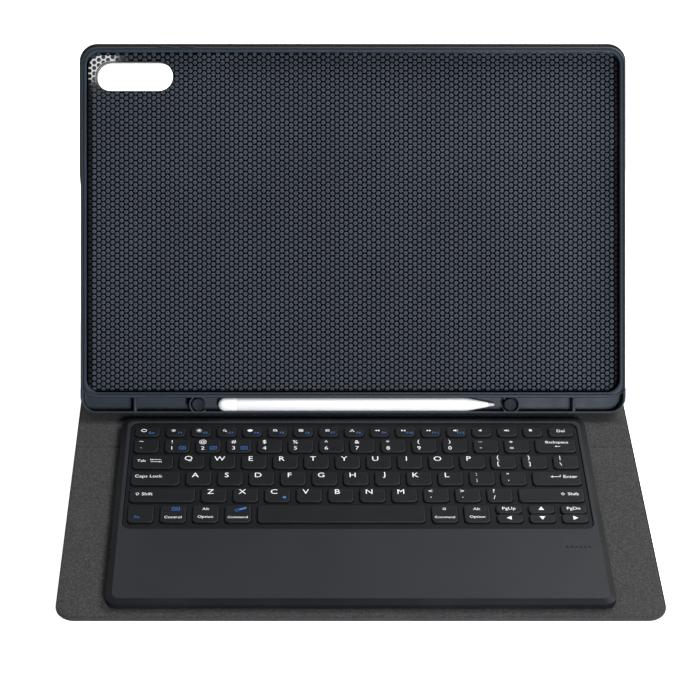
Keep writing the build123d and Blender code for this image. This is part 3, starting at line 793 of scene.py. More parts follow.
def port_cutter(side, y, length):
    """A rounded tunnel through a side wall."""
    z0, z1 = PORT_Z
    middle, radius = (z0 + z1) / 2, (z1 - z0) / 2
    rings = []
    for outward, flare in ((-5, 0), (-0.5, 0), (0, 0.45), (2, 0.45)):
        outline = slot_outline(y, middle, length + 2 * flare, 2 * (radius + flare), 0)
        rings.append(sideways(outline, side * (TRAY_HALF + outward)))
    return Shape().loft(rings)


def top_windows():
    """(x0, x1) of each opening in the top wall: both pads' windows and the microphone slot."""
    windows = [MICROPHONE]
    for pad in ("power_pad", "volume_pad"):
        (x0, _, _), (x1, _, _) = extent(pad, TRAY)
        windows.append((x0 - PAD_GAP, x1 + PAD_GAP))
    return windows


def window_cutter(x0, x1):
    """A rounded tunnel through the top wall."""
    (_, _, z0), (_, _, z1) = extent("power_pad", TRAY)
    outline = rounded((x1 - x0) / 2, z0 - PAD_GAP, z1 + PAD_GAP, 0, 1.0, 1.0, (x0 + x1) / 2, 5)
    return Shape().loft([upright(outline, y) for y in (OPENING_TOP - 1, TRAY_TOP + 4)])


def notch_cutter(x0, x1):
    """A shallow notch in the tray's outer edge above a pad, so that a finger finds it."""
    base = extent("power_pad", TRAY)[1][2]
    rings = []
    for z, grow in ((base, 0.0), (TRAY_RIM - 0.8, 0.0), (TRAY_RIM + 0.6, 0.5)):
        low = TRAY_TOP - NOTCH_DEPTH - grow * 0.4
        rings.append(rounded((x1 - x0) / 2 + grow, low, TRAY_TOP + 3, z, 0.5, 0.5, (x0 + x1) / 2, 4))
    return Shape().loft(rings)


def build_pads():
    """The two soft button pads, rounded, each with three low grip ribs."""
    for name in ("power_pad", "volume_pad"):
        (x0, y0, z0), (x1, y1, z1) = extent(name, TRAY)
        middle, half, height = (x0 + x1) / 2, (x1 - x0) / 2, (z0 + z1) / 2
        shape = Shape()
        rings = []
        section = ((y0, 0.3), (y0 + 0.2, 0), (y1 - 0.5, 0), (y1 - 0.25, 0.1), (y1 - 0.08, 0.35), (y1, 0.8))
        for y, inset in section:
            rings.append(upright(rounded(half - inset, z0 + inset, z1 - inset, 0, 1, 1, middle, 5), y))
        shape.loft(rings)
        for offset in (-1.6, 0, 1.6):
            rings = []
            for y, inset in ((y1 - 0.2, 0), (y1 - 0.05, 0), (y1, 0.1)):
                ends = (height - 1.1 + inset, height + 1.1 - inset)
                edge = rounded(0.28 - inset, *ends, 0, 0.15, 0.15, middle + offset, 3)
                rings.append(upright(edge, y))
            shape.loft(rings)
        settle(shape.build(f"{name}_cap", TRAY, ["shell"], "soft_shell"), name, name)


def strip_ring(outward, z):
    """The pen strip's outline between its outer edge (0) and its pocket (1), at height z.

    The upper edge curves up at both ends, along the corners of the tray's opening.
    """
    half = TRAY_HALF + 0.02 - (TRAY_HALF - STRIP_HALF) * outward
    foot = TRAY_FOOT + STRIP_WALL * outward
    radius = TRAY_CORNER + (STRIP_CORNER - TRAY_CORNER) * outward
    top = STRIP_TOP + STRIP_BAND * (1 - outward)
    right, upper = [], []
    for k in range(13):
        a = math.radians(90 * k / 12 - 90)
        right.append((half - radius + radius * math.cos(a), foot + radius + radius * math.sin(a), z))
    for k in range(12, -1, -1):
        bend = math.sin(math.pi / 2 * k / 12)
        x = half * (CURL_START + (1 - CURL_START) * bend)
        upper.append((x, top + CURL_RISE * (1 - math.sqrt(1 - bend**2)), z))
    curve = right + upper
    return curve + [(-x, y, z) for x, y, z in reversed(curve)]


def bar(shape, xs, ys, zs, soft):
    """A bar between two limits each way, with rounded top edges."""
    middle, half = sum(xs) / 2, (xs[1] - xs[0]) / 2
    top = zs[1]
    rings = []
    for inset, z in ((0, zs[0]), (0, top - soft), (soft * 0.3, top - soft * 0.3), (soft, top)):
        rings.append(rounded(half - inset, ys[0] + inset, ys[1] - inset, z, 0.3, 0.3, middle, 3))
    shape.loft(rings)


def build_pen_strip():
    """The pen strip below the tablet, with its ribs, pegs and the springy rings round the pegs."""
    rim = STRIP_RIM
    section = (
        (0.9, TRAY_BACK), (0.25, TRAY_BACK + 0.1), (0.0, TRAY_BACK + 0.8), (0.0, rim - 1.4),
        (0.05, rim - 0.7), (0.2, rim - 0.25), (0.4, rim - 0.04), (0.6, rim), (0.8, rim - 0.06),
        (0.95, rim - 0.25), (1.0, rim - 0.6),
        (1.0, STRIP_FLOOR + 0.5), (1.04, STRIP_FLOOR + 0.1), (1.12, STRIP_FLOOR), (1.3, STRIP_FLOOR),
    )
    shape = Shape().loft([strip_ring(share, z) for share, z in section])
    ys, zs = (STRIP_FOOT - 0.3, STRIP_TOP + 0.3), (STRIP_FLOOR - 0.2, rim - 0.5)
    for x in RIB_X:
        bar(shape, (x - 0.9, x + 0.9), ys, zs, 0.5)
    peg = (
        (4.0, STRIP_FLOOR - 0.2), (4.0, rim - 1.7), (3.85, rim - 1.15), (3.4, rim - 0.85),
        (2.9, rim - 0.95), (1.2, rim - 1.15),
    )
    for x, side in zip(PEG_X, (1, -1)):
        shape.loft([circle(x, STRIP_MIDDLE, z, radius, 40) for radius, z in peg], slot=1)
        ring_wall(shape, x, side)
    settle(shape.build("pen_strip", TRAY, ["shell", "peg"], "soft_shell", 45), "tray")


def ring_wall(shape, x, side):
    """A springy ring round a peg, open towards the stylus, with a round top."""
    opening = math.radians(38)
    start = opening if side > 0 else math.pi + opening
    sweep = 2 * math.pi - 2 * opening
    inner, outer = 4.75, 5.75
    low, high = STRIP_FLOOR - 0.2, STRIP_RIM - 0.1
    section = (
        (inner, low), (inner, high - 0.4), (inner + 0.2, high - 0.08), ((inner + outer) / 2, high),
        (outer - 0.2, high - 0.08), (outer, high - 0.4), (outer, low),
    )
    rings = []
    steps = 40
    for k in range(steps + 1):
        a = start + sweep * k / steps
        ring = []
        for radius, z in section:
            y = STRIP_MIDDLE + radius * math.sin(a)
            y = min(max(y, STRIP_FOOT - 0.25), STRIP_TOP + 0.25)
            ring.append((x + radius * math.cos(a), y, z))
        rings.append(ring)
    shape.loft(rings)


CELL_PITCH = 3.335  # between neighbouring cells of a column
CELL_COLUMNS = 2.804  # between the columns
CELL_START = (-1.27, 2.08)  # the middle column's place, and the top row's under the opening's edge
CELL_SIZE = 1.47  # from a cell's middle to its corners
CELL_HEIGHT = 0.42
DIMPLE_HEIGHT = 0.14
CELL_SECTION = ((0, 0), (0.06, 0.30), (0.24, CELL_HEIGHT), (1.15, CELL_HEIGHT - 0.03))  # inset, height
SLOT_EDGE = 0.7  # bare floor round the camera opening
MOAT = 0.35  # bare floor along the side walls
FOOT_MOAT = 1.1  # bare floor along the foot wall


def hexagon_radius(a):
    """A hexagon with soft corners and unit corner radius, its flat sides above and below."""
    sector = (a + math.pi / 6) % (math.pi / 3) - math.pi / 6
    sharp = math.cos(math.pi / 6) / math.cos(sector - math.copysign(math.pi / 6, sector))
    return 0.45 * sharp + 0.55 * 0.93


CELL_TURNS = [math.pi * (2 * k + 1) / 12 for k in range(12)]
CELL_OUTLINE = [(math.cos(a) * hexagon_radius(a), math.sin(a) * hexagon_radius(a)) for a in CELL_TURNS]


def build_honeycomb():
    """The raised cells of the tray's floor, on a smooth dark sheet."""
    half, foot, top = TRAY_HALF - LIP_SIDE * 0.75 - 0.2, OPENING_FOOT - 0.2, OPENING_TOP + 0.6
    levels = (TRAY_FLOOR - 0.2, TRAY_FLOOR + 0.04)
    sheet = Shape().loft([rounded(half, foot, top, z, OPENING_CORNER, OPENING_CORNER) for z in levels])
    under = sheet.build("honeycomb_sheet", TRAY, ["groove"], "soft_shell")
    settle(cut(under, [camera_cutter(TRAY_BACK, TRAY_FLOOR)], TRAY), "tray")
    shape = Shape()
    columns = int(half / CELL_COLUMNS)
    for column in range(-columns, columns + 2):
        shift = CELL_PITCH / 2 if column % 2 else 0.0
        for row in range(-1, int((top - foot) / CELL_PITCH) + 1):
            x = CELL_START[0] + column * CELL_COLUMNS
            y = OPENING_TOP - CELL_START[1] - shift - row * CELL_PITCH
            if honeycomb_here(x, y, half, foot, top):
                cell(shape, x, y)
    settle(shape.build("honeycomb_cells", TRAY, ["cell", "shaded_skirt"], "soft_shell", 60), "tray")


def from_slot(x, y):
    """The nearest point of the camera opening's middle line, as its x, and how far away it is."""
    reach = (SLOT[0] - SLOT[1]) / 2
    middle = SLOT_X + min(max(x - SLOT_X, -reach), reach)
    return middle, math.hypot(x - middle, y - SLOT_Y)


def beside_slot(x, y, gap):
    """The point, or the nearest one that is clear of the camera opening."""
    middle, away = from_slot(x, y)
    share = max((SLOT[1] / 2 + gap) / max(away, 0.01), 1)
    return middle + (x - middle) * share, SLOT_Y + (y - SLOT_Y) * share


def cell(shape, x, y):
    """One raised cell with a dimple, cut off along the walls and the camera opening.

    The outermost columns and each dimple's faces are near-black: painted shade, on the outer columns the
    wall's shadow.
    """
    floor, limit = TRAY_FLOOR + 0.02, OPENING_HALF - MOAT
    rings = []
    for inset, height in CELL_SECTION:
        size, slope = CELL_SIZE - inset, 0.3 * inset
        edge, foot = limit - slope, OPENING_FOOT + FOOT_MOAT + slope
        ring = []
        for c, s in CELL_OUTLINE:
            px, py = min(max(x + c * size, -edge), edge), max(y + s * size, foot)
            ring.append((*beside_slot(px, py, SLOT_EDGE + slope), floor + height))
        rings.append(ring)
    base, count = len(shape.points), len(CELL_OUTLINE)
    shape.loft(rings, caps=False, slot=1 if abs(x) > limit - CELL_SIZE else 0)
    middle = beside_slot(min(max(x, 0.3 - limit), limit - 0.3), y, SLOT_EDGE + 0.4)
    centre = len(shape.points)
    shape.points.append((*middle, floor + DIMPLE_HEIGHT))
    for i in range(count):
        shape.face((centre - count + i, centre - count + (i + 1) % count, centre), 1)
    shape.face([base + i for i in reversed(range(count))])


def honeycomb_here(x, y, half, foot, top):
    """Whether a cell at this place lies on the floor and clear of the camera opening."""
    dx = max(abs(x) - (half - OPENING_CORNER), 0)
    dy = max(y - (top - OPENING_CORNER), foot + OPENING_CORNER - y, 0)
    return math.hypot(dx, dy) <= OPENING_CORNER - 0.2 and from_slot(x, y)[1] > SLOT[1] / 2 - 0.2


CONE_LENGTH = 17.5
SEAM_PLACE = 11.0  # from the barrel's end


def build_stylus():
    """The white pen: barrel with a rounded end and a fine seam, a cone and a nib."""
    (x0, _, z0), (x1, _, z1) = extent("stylus_barrel", TRAY)
    tip_x = extent("stylus_tip", TRAY)[1][0]
    radius = (z1 - z0) / 2
    axis_z = (z0 + z1) / 2
    cone = tip_x - CONE_LENGTH
    seam = x0 + SEAM_PLACE
    barrel = [(x0 + 0.01, 0.3)]
    barrel += [(x0 + radius * (1 - math.cos(t)), radius * math.sin(t)) for t in (0.15, 0.4, 0.7, 1.0, 1.3)]
    barrel += [(x0 + radius, radius), (seam - 0.12, radius), (seam, radius - 0.1), (seam + 0.12, radius)]
    barrel += [(cone - 2.5, radius), (cone - 1, radius * 0.992), (cone + 0.5, radius * 0.965)]
    barrel += [(cone + 2, radius * 0.91), (x1 - 0.15, 1.42), (x1, 1.3), (x1, 0.6)]
    nib = [(x1 + 0.02, 0.5), (x1 + 0.02, 1.2), (x1 + 0.4, 1.28), (tip_x - 1.2, 0.92), (tip_x - 0.5, 0.68)]
    nib += [(tip_x - 0.12, 0.36), (tip_x, 0.08)]
    parts = (
        ("stylus_body", barrel, "stylus", "stylus_white", "stylus_barrel"),
        ("stylus_point", nib, "nib", "stylus_nib", "stylus_tip"),
    )
    for name, profile, material, slot, node in parts:
        shape = Shape().loft([sideways(circle(STRIP_MIDDLE, axis_z, 0, r, 48), x) for x, r in profile])
        settle(shape.build(name, TRAY, [material], slot, 50), "stylus", node)


# ---- Keyboard -------------------------------------------------------------------------------


def build_casing():
    """The keyboard's upper casing: palm rest, bevel, walls and key well, with its small openings."""
    well_half = DECK_HALF + DECK_GAP
    well_front, well_rear = DECK_FRONT - DECK_GAP, DECK_REAR + DECK_GAP
    wall, corner, well_corner = 1.5, 6.0, 5.0
    plate = KB_TOP - 1.2

    def outer(inset, z):
        radius = corner - inset * 0.5
        return rounded(KB_HALF - inset, KB_FRONT + inset, KB_REAR - inset, z, radius, radius, steps=10)

    def well(out, z):
        ends = (well_front - out, well_rear + out)
        return rounded(well_half + out, *ends, z, well_corner, well_corner, steps=10)

    walls = [outer(wall, KB_LOW), outer(0.25, KB_LOW), outer(0.02, KB_LOW + 0.2), outer(0, KB_TOP - 1.35)]
    walls += [outer(0.06, KB_TOP - 1.22), outer(0.25, KB_TOP - 1.08), outer(2.9, KB_TOP - 0.2)]
    walls += [outer(3.15, KB_TOP - 0.06), outer(3.5, KB_TOP)]
    rest = [outer(3.5, KB_TOP), outer(4.0, KB_TOP), well(0.8, KB_TOP), well(0.35, KB_TOP)]
    rest += [well(0.12, KB_TOP - 0.08)]
    pit = [well(0.12, KB_TOP - 0.08), well(0, KB_TOP - 0.3), well(0, plate), outer(wall, plate)]
    # the bevel, outer walls and the key well's wall take the darker rim material: painted shade
    shape = Shape().loft(walls, caps=False, slot=1)
    shape.loft(rest, caps=False)
    shape.loft(pit, caps=False, slot=1)
    shape.loft([outer(wall, plate), outer(wall, KB_LOW)], caps=False)
    piece = shape.build("keyboard_casing", COVER, ["casing", "rim"], "keyboard_case", 32)
    cutters = []
    for low, high in parts_of("lamp_guides"):
        x, y = (low[0] + high[0]) / 2, (low[1] + high[1]) / 2
        cutters.append(Shape().loft([circle(x, y, z, 0.75, 16) for z in (plate - 1, KB_TOP + 1)]))
    cutters.append(wall_cutter("charge_port", 0.12, 0.12, 1.3))
    cutters.append(wall_cutter("power_switch", 0.1, 0.1, 0.4, knob=True))
    settle(cut(piece, cutters, COVER), "keyboard", "keyboard_top_frame")


def wall_cutter(node, gap_y, gap_z, radius, knob=False):
    """A tunnel through the keyboard's right wall for a socket or the switch's whole travel."""
    low, high = extent(node, COVER)
    y0, y1 = low[1] - gap_y, high[1] + gap_y
    z0, z1 = low[2] - gap_z, high[2] + gap_z
    if knob:
        travel = JOINTS["power_switch_slide"]["range_m"][1] / MM
        shoulder = 1.2
        y0, y1 = low[1] + shoulder - gap_y, high[1] - shoulder + travel + gap_y
        z0, z1 = low[2] + 0.2 - gap_z, high[2] - 0.2 + gap_z
    outline = rounded((y1 - y0) / 2, z0, z1, 0, radius, radius, (y0 + y1) / 2, 5)
    return Shape().loft([sideways(outline, x) for x in (KB_HALF - 4, KB_HALF + 2)])


NARROW_NODE = 30.0
CLUSTER_GAPS = (1.0, 1.6)  # between clusters of vertices, in a narrow node and in a wide one


def parts_of(node):
    """The boxes of a node's separate solids, sorted by x.

    A lamp guide's vertices make one cluster along x, and a key's make two, at its left and right ends.
    """
    low, high = extent(node, COVER)
    xs = sorted(COVER.local(v.co)[0] for v in frame["nodes"][node].data.vertices)
    gap = CLUSTER_GAPS[high[0] - low[0] >= NARROW_NODE]
    clusters = [[xs[0], xs[0]]]
    for x in xs:
        if x - clusters[-1][1] > gap:
            clusters.append([x, x])
        clusters[-1][1] = x
    if node.startswith("key"):
        clusters = [[a[0], b[1]] for a, b in zip(clusters[::2], clusters[1::2])]
    return [((a, low[1], low[2]), (b, high[1], high[2])) for a, b in clusters]


KEY_FLARE = 0.15  # how far a key cap reaches out past the block it stands on
CAP_CEILING = 1.0  # thickness of a key's top
SHEET_THICKNESS = 0.3  # of the sheet that the domes stand on


def build_domes():
    """The silicone sheet with a dome under each key, drawn as low as a full press leaves them."""
    (x0, y0, z0), (x1, y1, z1) = extent("dome_sheet", COVER)
    crown = z1 - JOINTS["key_enter_press"]["range_m"][1] / MM
    sheet_top = z0 + SHEET_THICKNESS
    shape = Shape().loft([rounded((x1 - x0) / 2, y0, y1, z, 4, 4) for z in (z0, sheet_top)])
    section = ((2.0, sheet_top - 0.1), (1.85, sheet_top + 0.1), (1.45, crown - 0.1), (1.3, crown))
    for node in key_nodes():
        for low, high in parts_of(node):
            x, y = (low[0] + high[0]) / 2, (low[1] + high[1]) / 2
            shape.loft([circle(x, y, z, radius, 16) for radius, z in section])
    settle(shape.build("silicone_domes", COVER, ["silicone"], "silicone"), "keyboard", "dome_sheet")


def key_nodes():
    """Names of the nodes that hold key caps."""
    names = sorted(n for n in frame["nodes"] if n.startswith(("key_", "keys_")))
    return [n for n in names if n not in ("key_deck", "key_membrane")]


def key_cap(shape, low, high):
    """A key cap with round corners, slightly drawn-in sides, a soft top edge and a shallow dish."""
    low = (low[0] - KEY_FLARE, low[1] - KEY_FLARE, low[2])
    high = (high[0] + KEY_FLARE, high[1] + 0.5 * KEY_FLARE, high[2])
    middle, half = (low[0] + high[0]) / 2, (high[0] - low[0]) / 2
    depth = high[1] - low[1]
    corner = min(2.4, depth / 2 - 1.0)
    base, top = low[2], high[2]
    shaded_skirt = (
        (0.9, top - CAP_CEILING), (0.9, base), (0.35, base), (0.04, base + 0.05), (0.0, base + 0.25),
        (0.06, top - 0.75), (0.12, top - 0.45),
    )
    crown = (
        (0.12, top - 0.45), (0.27, top - 0.17), (0.48, top - 0.04), (0.75, top), (1.3, top - 0.03),
        (2.0, top - 0.05),
    )

    def ring(inset, z):
        inset = min(inset, depth / 2 - 0.6)
        radius = max(corner - inset * 0.7, 0.5)
        return rounded(half - inset, low[1] + inset, high[1] - inset, z, radius, radius, middle, 6)

    # the sides and underside are near-black: painted shade
    shape.loft([ring(inset, z) for inset, z in shaded_skirt], caps="low", slot=1)
    shape.loft([ring(inset, z) for inset, z in crown], caps="high")


# ---- Legends --------------------------------------------------------------------------------
# Icons are flat outlines centred on (0, 0), in mm.


@lru_cache(maxsize=None)
def lettering(text):
    """Flat, filled lettering of unit size, centred, as (points, faces)."""
    curve = bpy.data.curves.new("lettering", "FONT")
    curve.body = text
    curve.resolution_u = 3
    carrier = scene_object("lettering", curve)
    graph = bpy.context.evaluated_depsgraph_get()
    mesh = bpy.data.meshes.new_from_object(carrier.evaluated_get(graph))
    model = bmesh.new()
    model.from_mesh(mesh)
    bmesh.ops.remove_doubles(model, verts=model.verts, dist=1e-5)
    bmesh.ops.triangulate(model, faces=model.faces)
    points = [(v.co.x, v.co.y) for v in model.verts]
    faces = [tuple(v.index for v in f.verts) for f in model.faces if f.calc_area() > 1e-7]
    model.free()
    bpy.data.objects.remove(carrier)
    bpy.data.curves.remove(curve)
    bpy.data.meshes.remove(mesh)
    xs, ys = [p[0] for p in points], [p[1] for p in points]
    cx, cy = (min(xs) + max(xs)) / 2, (min(ys) + max(ys)) / 2
    return [(x - cx, y - cy) for x, y in points], faces


INK_LIFT = 0.03  # how far the ink stands proud of the key


def print_text(shape, text, x, y, size, z, slot=0, wide=1.08, slant=0.0):
    """Prints lettering on a key: its size is the em height in millimetres."""
    points, faces = lettering(text)
    placed = [(x + size * (wide * px + slant * py), y + size * py, z + INK_LIFT) for px, py in points]
    shape.add(placed, faces, slot)


def print_outline(shape, points, x, y, z, slot=0):
    """Prints a flat filled outline."""
    placed = [(x + px, y + py, z + INK_LIFT) for px, py in points]
    shape.add(placed, [tuple(range(len(placed)))], slot)


def disc(radius, squash=1.0, steps=18):
    """A filled circle, or an ellipse if squashed."""
    return [(x, squash * y) for x, y, _ in circle(0, 0, 0, radius, steps)]


def stroke(x0, y0, x1, y1, width):
    """A straight line of some width as an outline."""
    length = math.hypot(x1 - x0, y1 - y0)
    nx, ny = -(y1 - y0) / length * width / 2, (x1 - x0) / length * width / 2
    return [(x0 - nx, y0 - ny), (x1 - nx, y1 - ny), (x1 + nx, y1 + ny), (x0 + nx, y0 + ny)]


def loop(outline, width):
    """Strokes along an outline."""
    return [stroke(*a, *b, width) for a, b in zip(outline, outline[1:] + outline[:1])]


def box_outline(half_x, half_y):
    """A rectangle."""
    return [(-half_x, -half_y), (half_x, -half_y), (half_x, half_y), (-half_x, half_y)]


def triangle(size, turn=0.0, x=0.0, y=0.0):
    """A triangle that points to the right, turned by degrees."""
    turns = [math.radians(turn + 120 * k) for k in range(3)]
    return [(x + size * math.cos(a), y + size * math.sin(a)) for a in turns]


def arrow(x0, x1, y, width=0.35, head=0.75):
    """A straight arrow from x0 to x1."""
    way = 0 if x1 > x0 else 180
    tip = x1 - math.copysign(head, x1 - x0)
    return [stroke(x0, y, tip, y, width), triangle(head, way, tip, y)]


def rays(inner, outer):
    """Eight short strokes that point away from the middle."""
    return [stroke(*a, *b, 0.3) for a, b in zip(disc(inner, steps=8), disc(outer, steps=8))]


def moved(outlines, dx, dy):
    """Outlines set to one side."""
    return [[(x + dx, y + dy) for x, y in o] for o in outlines]


SPEAKER_ICON = [box_outline(0.45, 0.4), [(0.3, -0.4), (1.1, -0.95), (1.1, 0.95), (0.3, 0.4)]]
ICONS = {
    "home": loop(disc(1.5, 0.75, 16), 0.5),
    "dim": [disc(0.62)] + rays(0.9, 1.35),
    "bright": [disc(0.72)] + rays(1.05, 1.75),
    "search": loop(disc(0.75), 0.4) + [stroke(0.55, -0.55, 1.5, -1.35, 0.45)],
    "bubble": [disc(1.6, 0.68)],
    "windows": loop(box_outline(1.1, 0.9), 0.4) + moved([box_outline(0.5, 0.35)], 0.1, 0),
    "copy": moved(loop(box_outline(0.9, 0.75), 0.4), -0.3, 0.2) + moved([box_outline(0.6, 0.5)], 0.5, -0.4),
    "paste": [box_outline(0.55, 0.95)] + moved(loop(box_outline(0.75, 0.75), 0.35), 0.8, 0.1),
    "scissors": [stroke(-0.9, -0.9, 0.7, 1.1, 0.35), stroke(0.9, -0.9, -0.7, 1.1, 0.35)]
    + moved([disc(0.45)], -0.95, -0.8) + moved([disc(0.45)], 0.95, -0.8),
    "back": [triangle(0.85, 180, -0.75), triangle(0.85, 180, 0.65)],
    "play": [triangle(0.85, 0, -0.6), stroke(0.7, -0.7, 0.7, 0.7, 0.35), stroke(1.3, -0.7, 1.3, 0.7, 0.35)],
    "forward": [triangle(0.85, 0, -0.65), triangle(0.85, 0, 0.75)],
    "mute": SPEAKER_ICON + [stroke(1.5, -0.5, 2.3, 0.5, 0.3), stroke(1.5, 0.5, 2.3, -0.5, 0.3)],
    "quieter": SPEAKER_ICON,
    "louder": SPEAKER_ICON + [stroke(1.6, -0.5, 1.6, 0.5, 0.3), stroke(2.2, -0.8, 2.2, 0.8, 0.3)],
    "lock": [box_outline(0.85, 0.6)] + moved(loop(disc(0.55, 1.0, 12), 0.3), 0, 0.75),
    "left": arrow(1.6, -1.6, 0),
    "right": arrow(-1.6, 1.6, 0),
    "tabs": arrow(3.2, -3.2, 1.0, 0.35) + arrow(-3.2, 3.2, -1.0, 0.35)
    + [stroke(-3.35, 0.3, -3.35, 1.7, 0.3), stroke(3.35, -1.7, 3.35, -0.3, 0.3)],
    "shift": loop(
        [(-1.1, 0.1), (0, 1.2), (1.1, 0.1), (0.5, 0.1), (0.5, -0.9), (-0.5, -0.9), (-0.5, 0.1)], 0.26
    ),
    "enter": arrow(3.0, -3.0, -0.4, 0.4, 1.0) + [stroke(2.85, -0.5, 2.85, 1.1, 0.4)],
    "card": loop(box_outline(1.5, 1.05), 0.3) + [stroke(x, 0.4, 0.0, -0.5, 0.28) for x in (-0.7, 0.7)],
    "panel": loop(box_outline(2.1, 1.3), 0.3) + [stroke(-1.3, y, 1.3, y, 0.3) for y in (0.4, -0.4)],
    "pen": [stroke(-0.6, -0.3, 3.2, 1.3, 1.5)] + moved(loop(disc(1.1, 0.9, 14), 0.35), -2.0, -0.8),
    "dot": [box_outline(0.9, 0.9)],
    "square": loop(box_outline(0.7, 0.7), 0.28),
    "turn_up": [triangle(1.9, 90)],
    "turn_down": [triangle(1.9, -90)],
    "turn_left": [triangle(1.9, 180)],
    "turn_right": [triangle(1.9)],
}


def print_icon(shape, name, x, y, z, slot=0, scale=1.0):
    """Prints a named icon on a key."""
    for outline in ICONS[name]:
        print_outline(shape, [(scale * px, scale * py) for px, py in outline], x, y, z, slot)


FUNCTION_ICONS = (
    "dim", "bright", "search", "bubble", "copy", "windows", "paste", "scissors", "back", "play", "forward",
    "mute", "quieter", "louder", "lock",
)
PAIRS = ("~`", "!1", "@2", "#3", "$4", "%5", "^6", "&7", "*8", "(9", ")0", "_-", "+=")
ROW_MARKS = {
    "keys_number_row": PAIRS,
    "keys_upper_letter_row": tuple("QWERTYUIOP") + ("{[", "}]", "|\\"),
    "keys_home_row": tuple("ASDFGHJKL") + (":;", "\"'"),
    "keys_lower_letter_row": tuple("ZXCVBNM") + ("<,", ">.", "?/"),
}
LETTER, DIGIT, BLUE = 5.7, 4.4, 2.7  # sizes of the white letters and digits and of the blue marks


def spot(low, high, across, up):
    """A point on a key's top: shares of its width and depth."""
    return low[0] + (high[0] - low[0]) * across, low[1] + (high[1] - low[1]) * up, high[2]


def mark_rows(shape, node, number, low, high):
    """Legends of a key in one of the five plain rows."""
    if node == "keys_function_row":
        x, y, z = spot(low, high, 0.40, 0.60)
        print_icon(shape, FUNCTION_ICONS[number], x, y, z)
        if number < 12:
            x, y, z = spot(low, high, 0.74, 0.34)
            print_text(shape, f"F{number + 1}", x, y, BLUE, z, 1, 1.1, 0.2)
        return
    mark = ROW_MARKS[node][number]
    if len(mark) == 1:
        x, y, z = spot(low, high, 0.37, 0.72)
        print_text(shape, mark, x, y, LETTER, z)
        if mark == "C":
            print_icon(shape, "dot", *spot(low, high, 0.78, 0.30), 1)
        return
    for letter, up in zip(mark, (0.77, 0.30)):
        x, y, z = spot(low, high, 0.29, up)
        if letter in "~^\"*'`":
            y += 0.5 if letter in "~^\"*" else 0.0
        print_text(shape, letter, x, y, DIGIT, z)
    if mark in ("!1", "@2", "#3"):
        x, y, z = spot(low, high, 0.72, 0.30)
        print_icon(shape, "card", x, y, z, 1, 1.2)


# node: marks as (text or icon, share across, share up, size, ink), with white ink if none is given
OPTION_MARKS = (("Alt", 0.5, 0.76, 3.0), ("Option", 0.5, 0.28, 2.9))
COMMAND_MARK = ("Command", 0.5, 0.28, 2.55)
SINGLE_MARKS = {
    "key_escape": (("home", 0.36, 0.60, 1), ("Esc", 0.70, 0.34, 2.7, 1)),
    "key_delete": (("Del", 0.5, 0.55, 3.3),),
    "key_backspace": (("Backspace", 0.55, 0.72, 3.1), ("left", 0.55, 0.42, 1)),
    "key_tab": (("Tab", 0.22, 0.56, 3.1), ("tabs", 0.58, 0.56, 0.95)),
    "key_caps_lock": (("Caps Lock", 0.36, 0.60, 3.5),),
    "key_enter": (("enter", 0.48, 0.62, 1), ("Enter", 0.79, 0.60, 3.6)),
    "key_shift_left": (("shift", 0.12, 0.55, 1), ("Shift", 0.27, 0.55, 3.4)),
    "key_shift_right": (("shift", 0.68, 0.55, 1), ("Shift", 0.84, 0.55, 3.4)),
    "key_function": (("Fn", 0.36, 0.28, 3.0, 1),),
    "key_control": (("panel", 0.6, 0.76, 1, 1), ("Control", 0.5, 0.28, 2.9)),
    "key_option_left": OPTION_MARKS,
    "key_option_right": OPTION_MARKS,
    "key_command_left": (("pen", 0.6, 0.74, 1, 1), COMMAND_MARK),
    "key_command_right": (("square", 0.5, 0.76, 1), COMMAND_MARK),
    "key_page_up": (("PgUp", 0.5, 0.5, 3.4),),
    "key_page_down": (("PgDn", 0.5, 0.5, 3.4),),
    "key_arrow_up": (("turn_up", 0.5, 0.5, 1),),
    "key_arrow_down": (("turn_down", 0.5, 0.55, 1),),
    "key_arrow_left": (("turn_left", 0.5, 0.5, 1),),
    "key_arrow_right": (("turn_right", 0.5, 0.5, 1),),
}


def build_keys():
    """Every key cap with its printed legend, one piece of each for each key node."""
    for node in key_nodes():
        body = frame["nodes"][node]["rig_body"]
        caps, marks = Shape(), Shape()
        for number, (low, high) in enumerate(parts_of(node)):
            key_cap(caps, low, high)
            if node.startswith("keys_"):
                mark_rows(marks, node, number, low, high)
            for what, across, up, size, *colour in SINGLE_MARKS.get(node, ()):
                x, y, z = spot(low, high, across, up)
                if what in ICONS:
                    print_icon(marks, what, x, y, z, sum(colour), size)
                else:
                    print_text(marks, what, x, y, size, z, sum(colour))
        settle(caps.build(f"{node}_cap", COVER, ["key", "shaded_skirt"], "key_plastic", 50), body, node)
        if marks.faces:
            settle(marks.build(f"{node}_legend", COVER, ["white_ink", "blue_ink"], "key_plastic"), body)


def dress_nodes():
    """Materials for the CAD nodes whose own shape stays."""
    finish = {f"{panel}_board": "board" for panel in ("cover", "spine", "foot", "leg", "back")}
    finish |= {
        "cover_magnets": "magnet", "keyboard_bottom_cover": "casing",
        "keyboard_screws": "steel", "key_deck": "deck", "steel_plate": "steel", "key_membrane": "film",
        "circuit_board": "circuit", "battery": "pouch", "charge_port": "socket",
        "power_switch": "key", "keyboard_feet": "rubber", "lamp_guides": "lamp",
    }
    for node, material in finish.items():
        mesh = frame["nodes"][node].data
        mesh.materials.clear()
        mesh.materials.append(MATERIALS[material])


# ---- Stage ----------------------------------------------------------------------------------


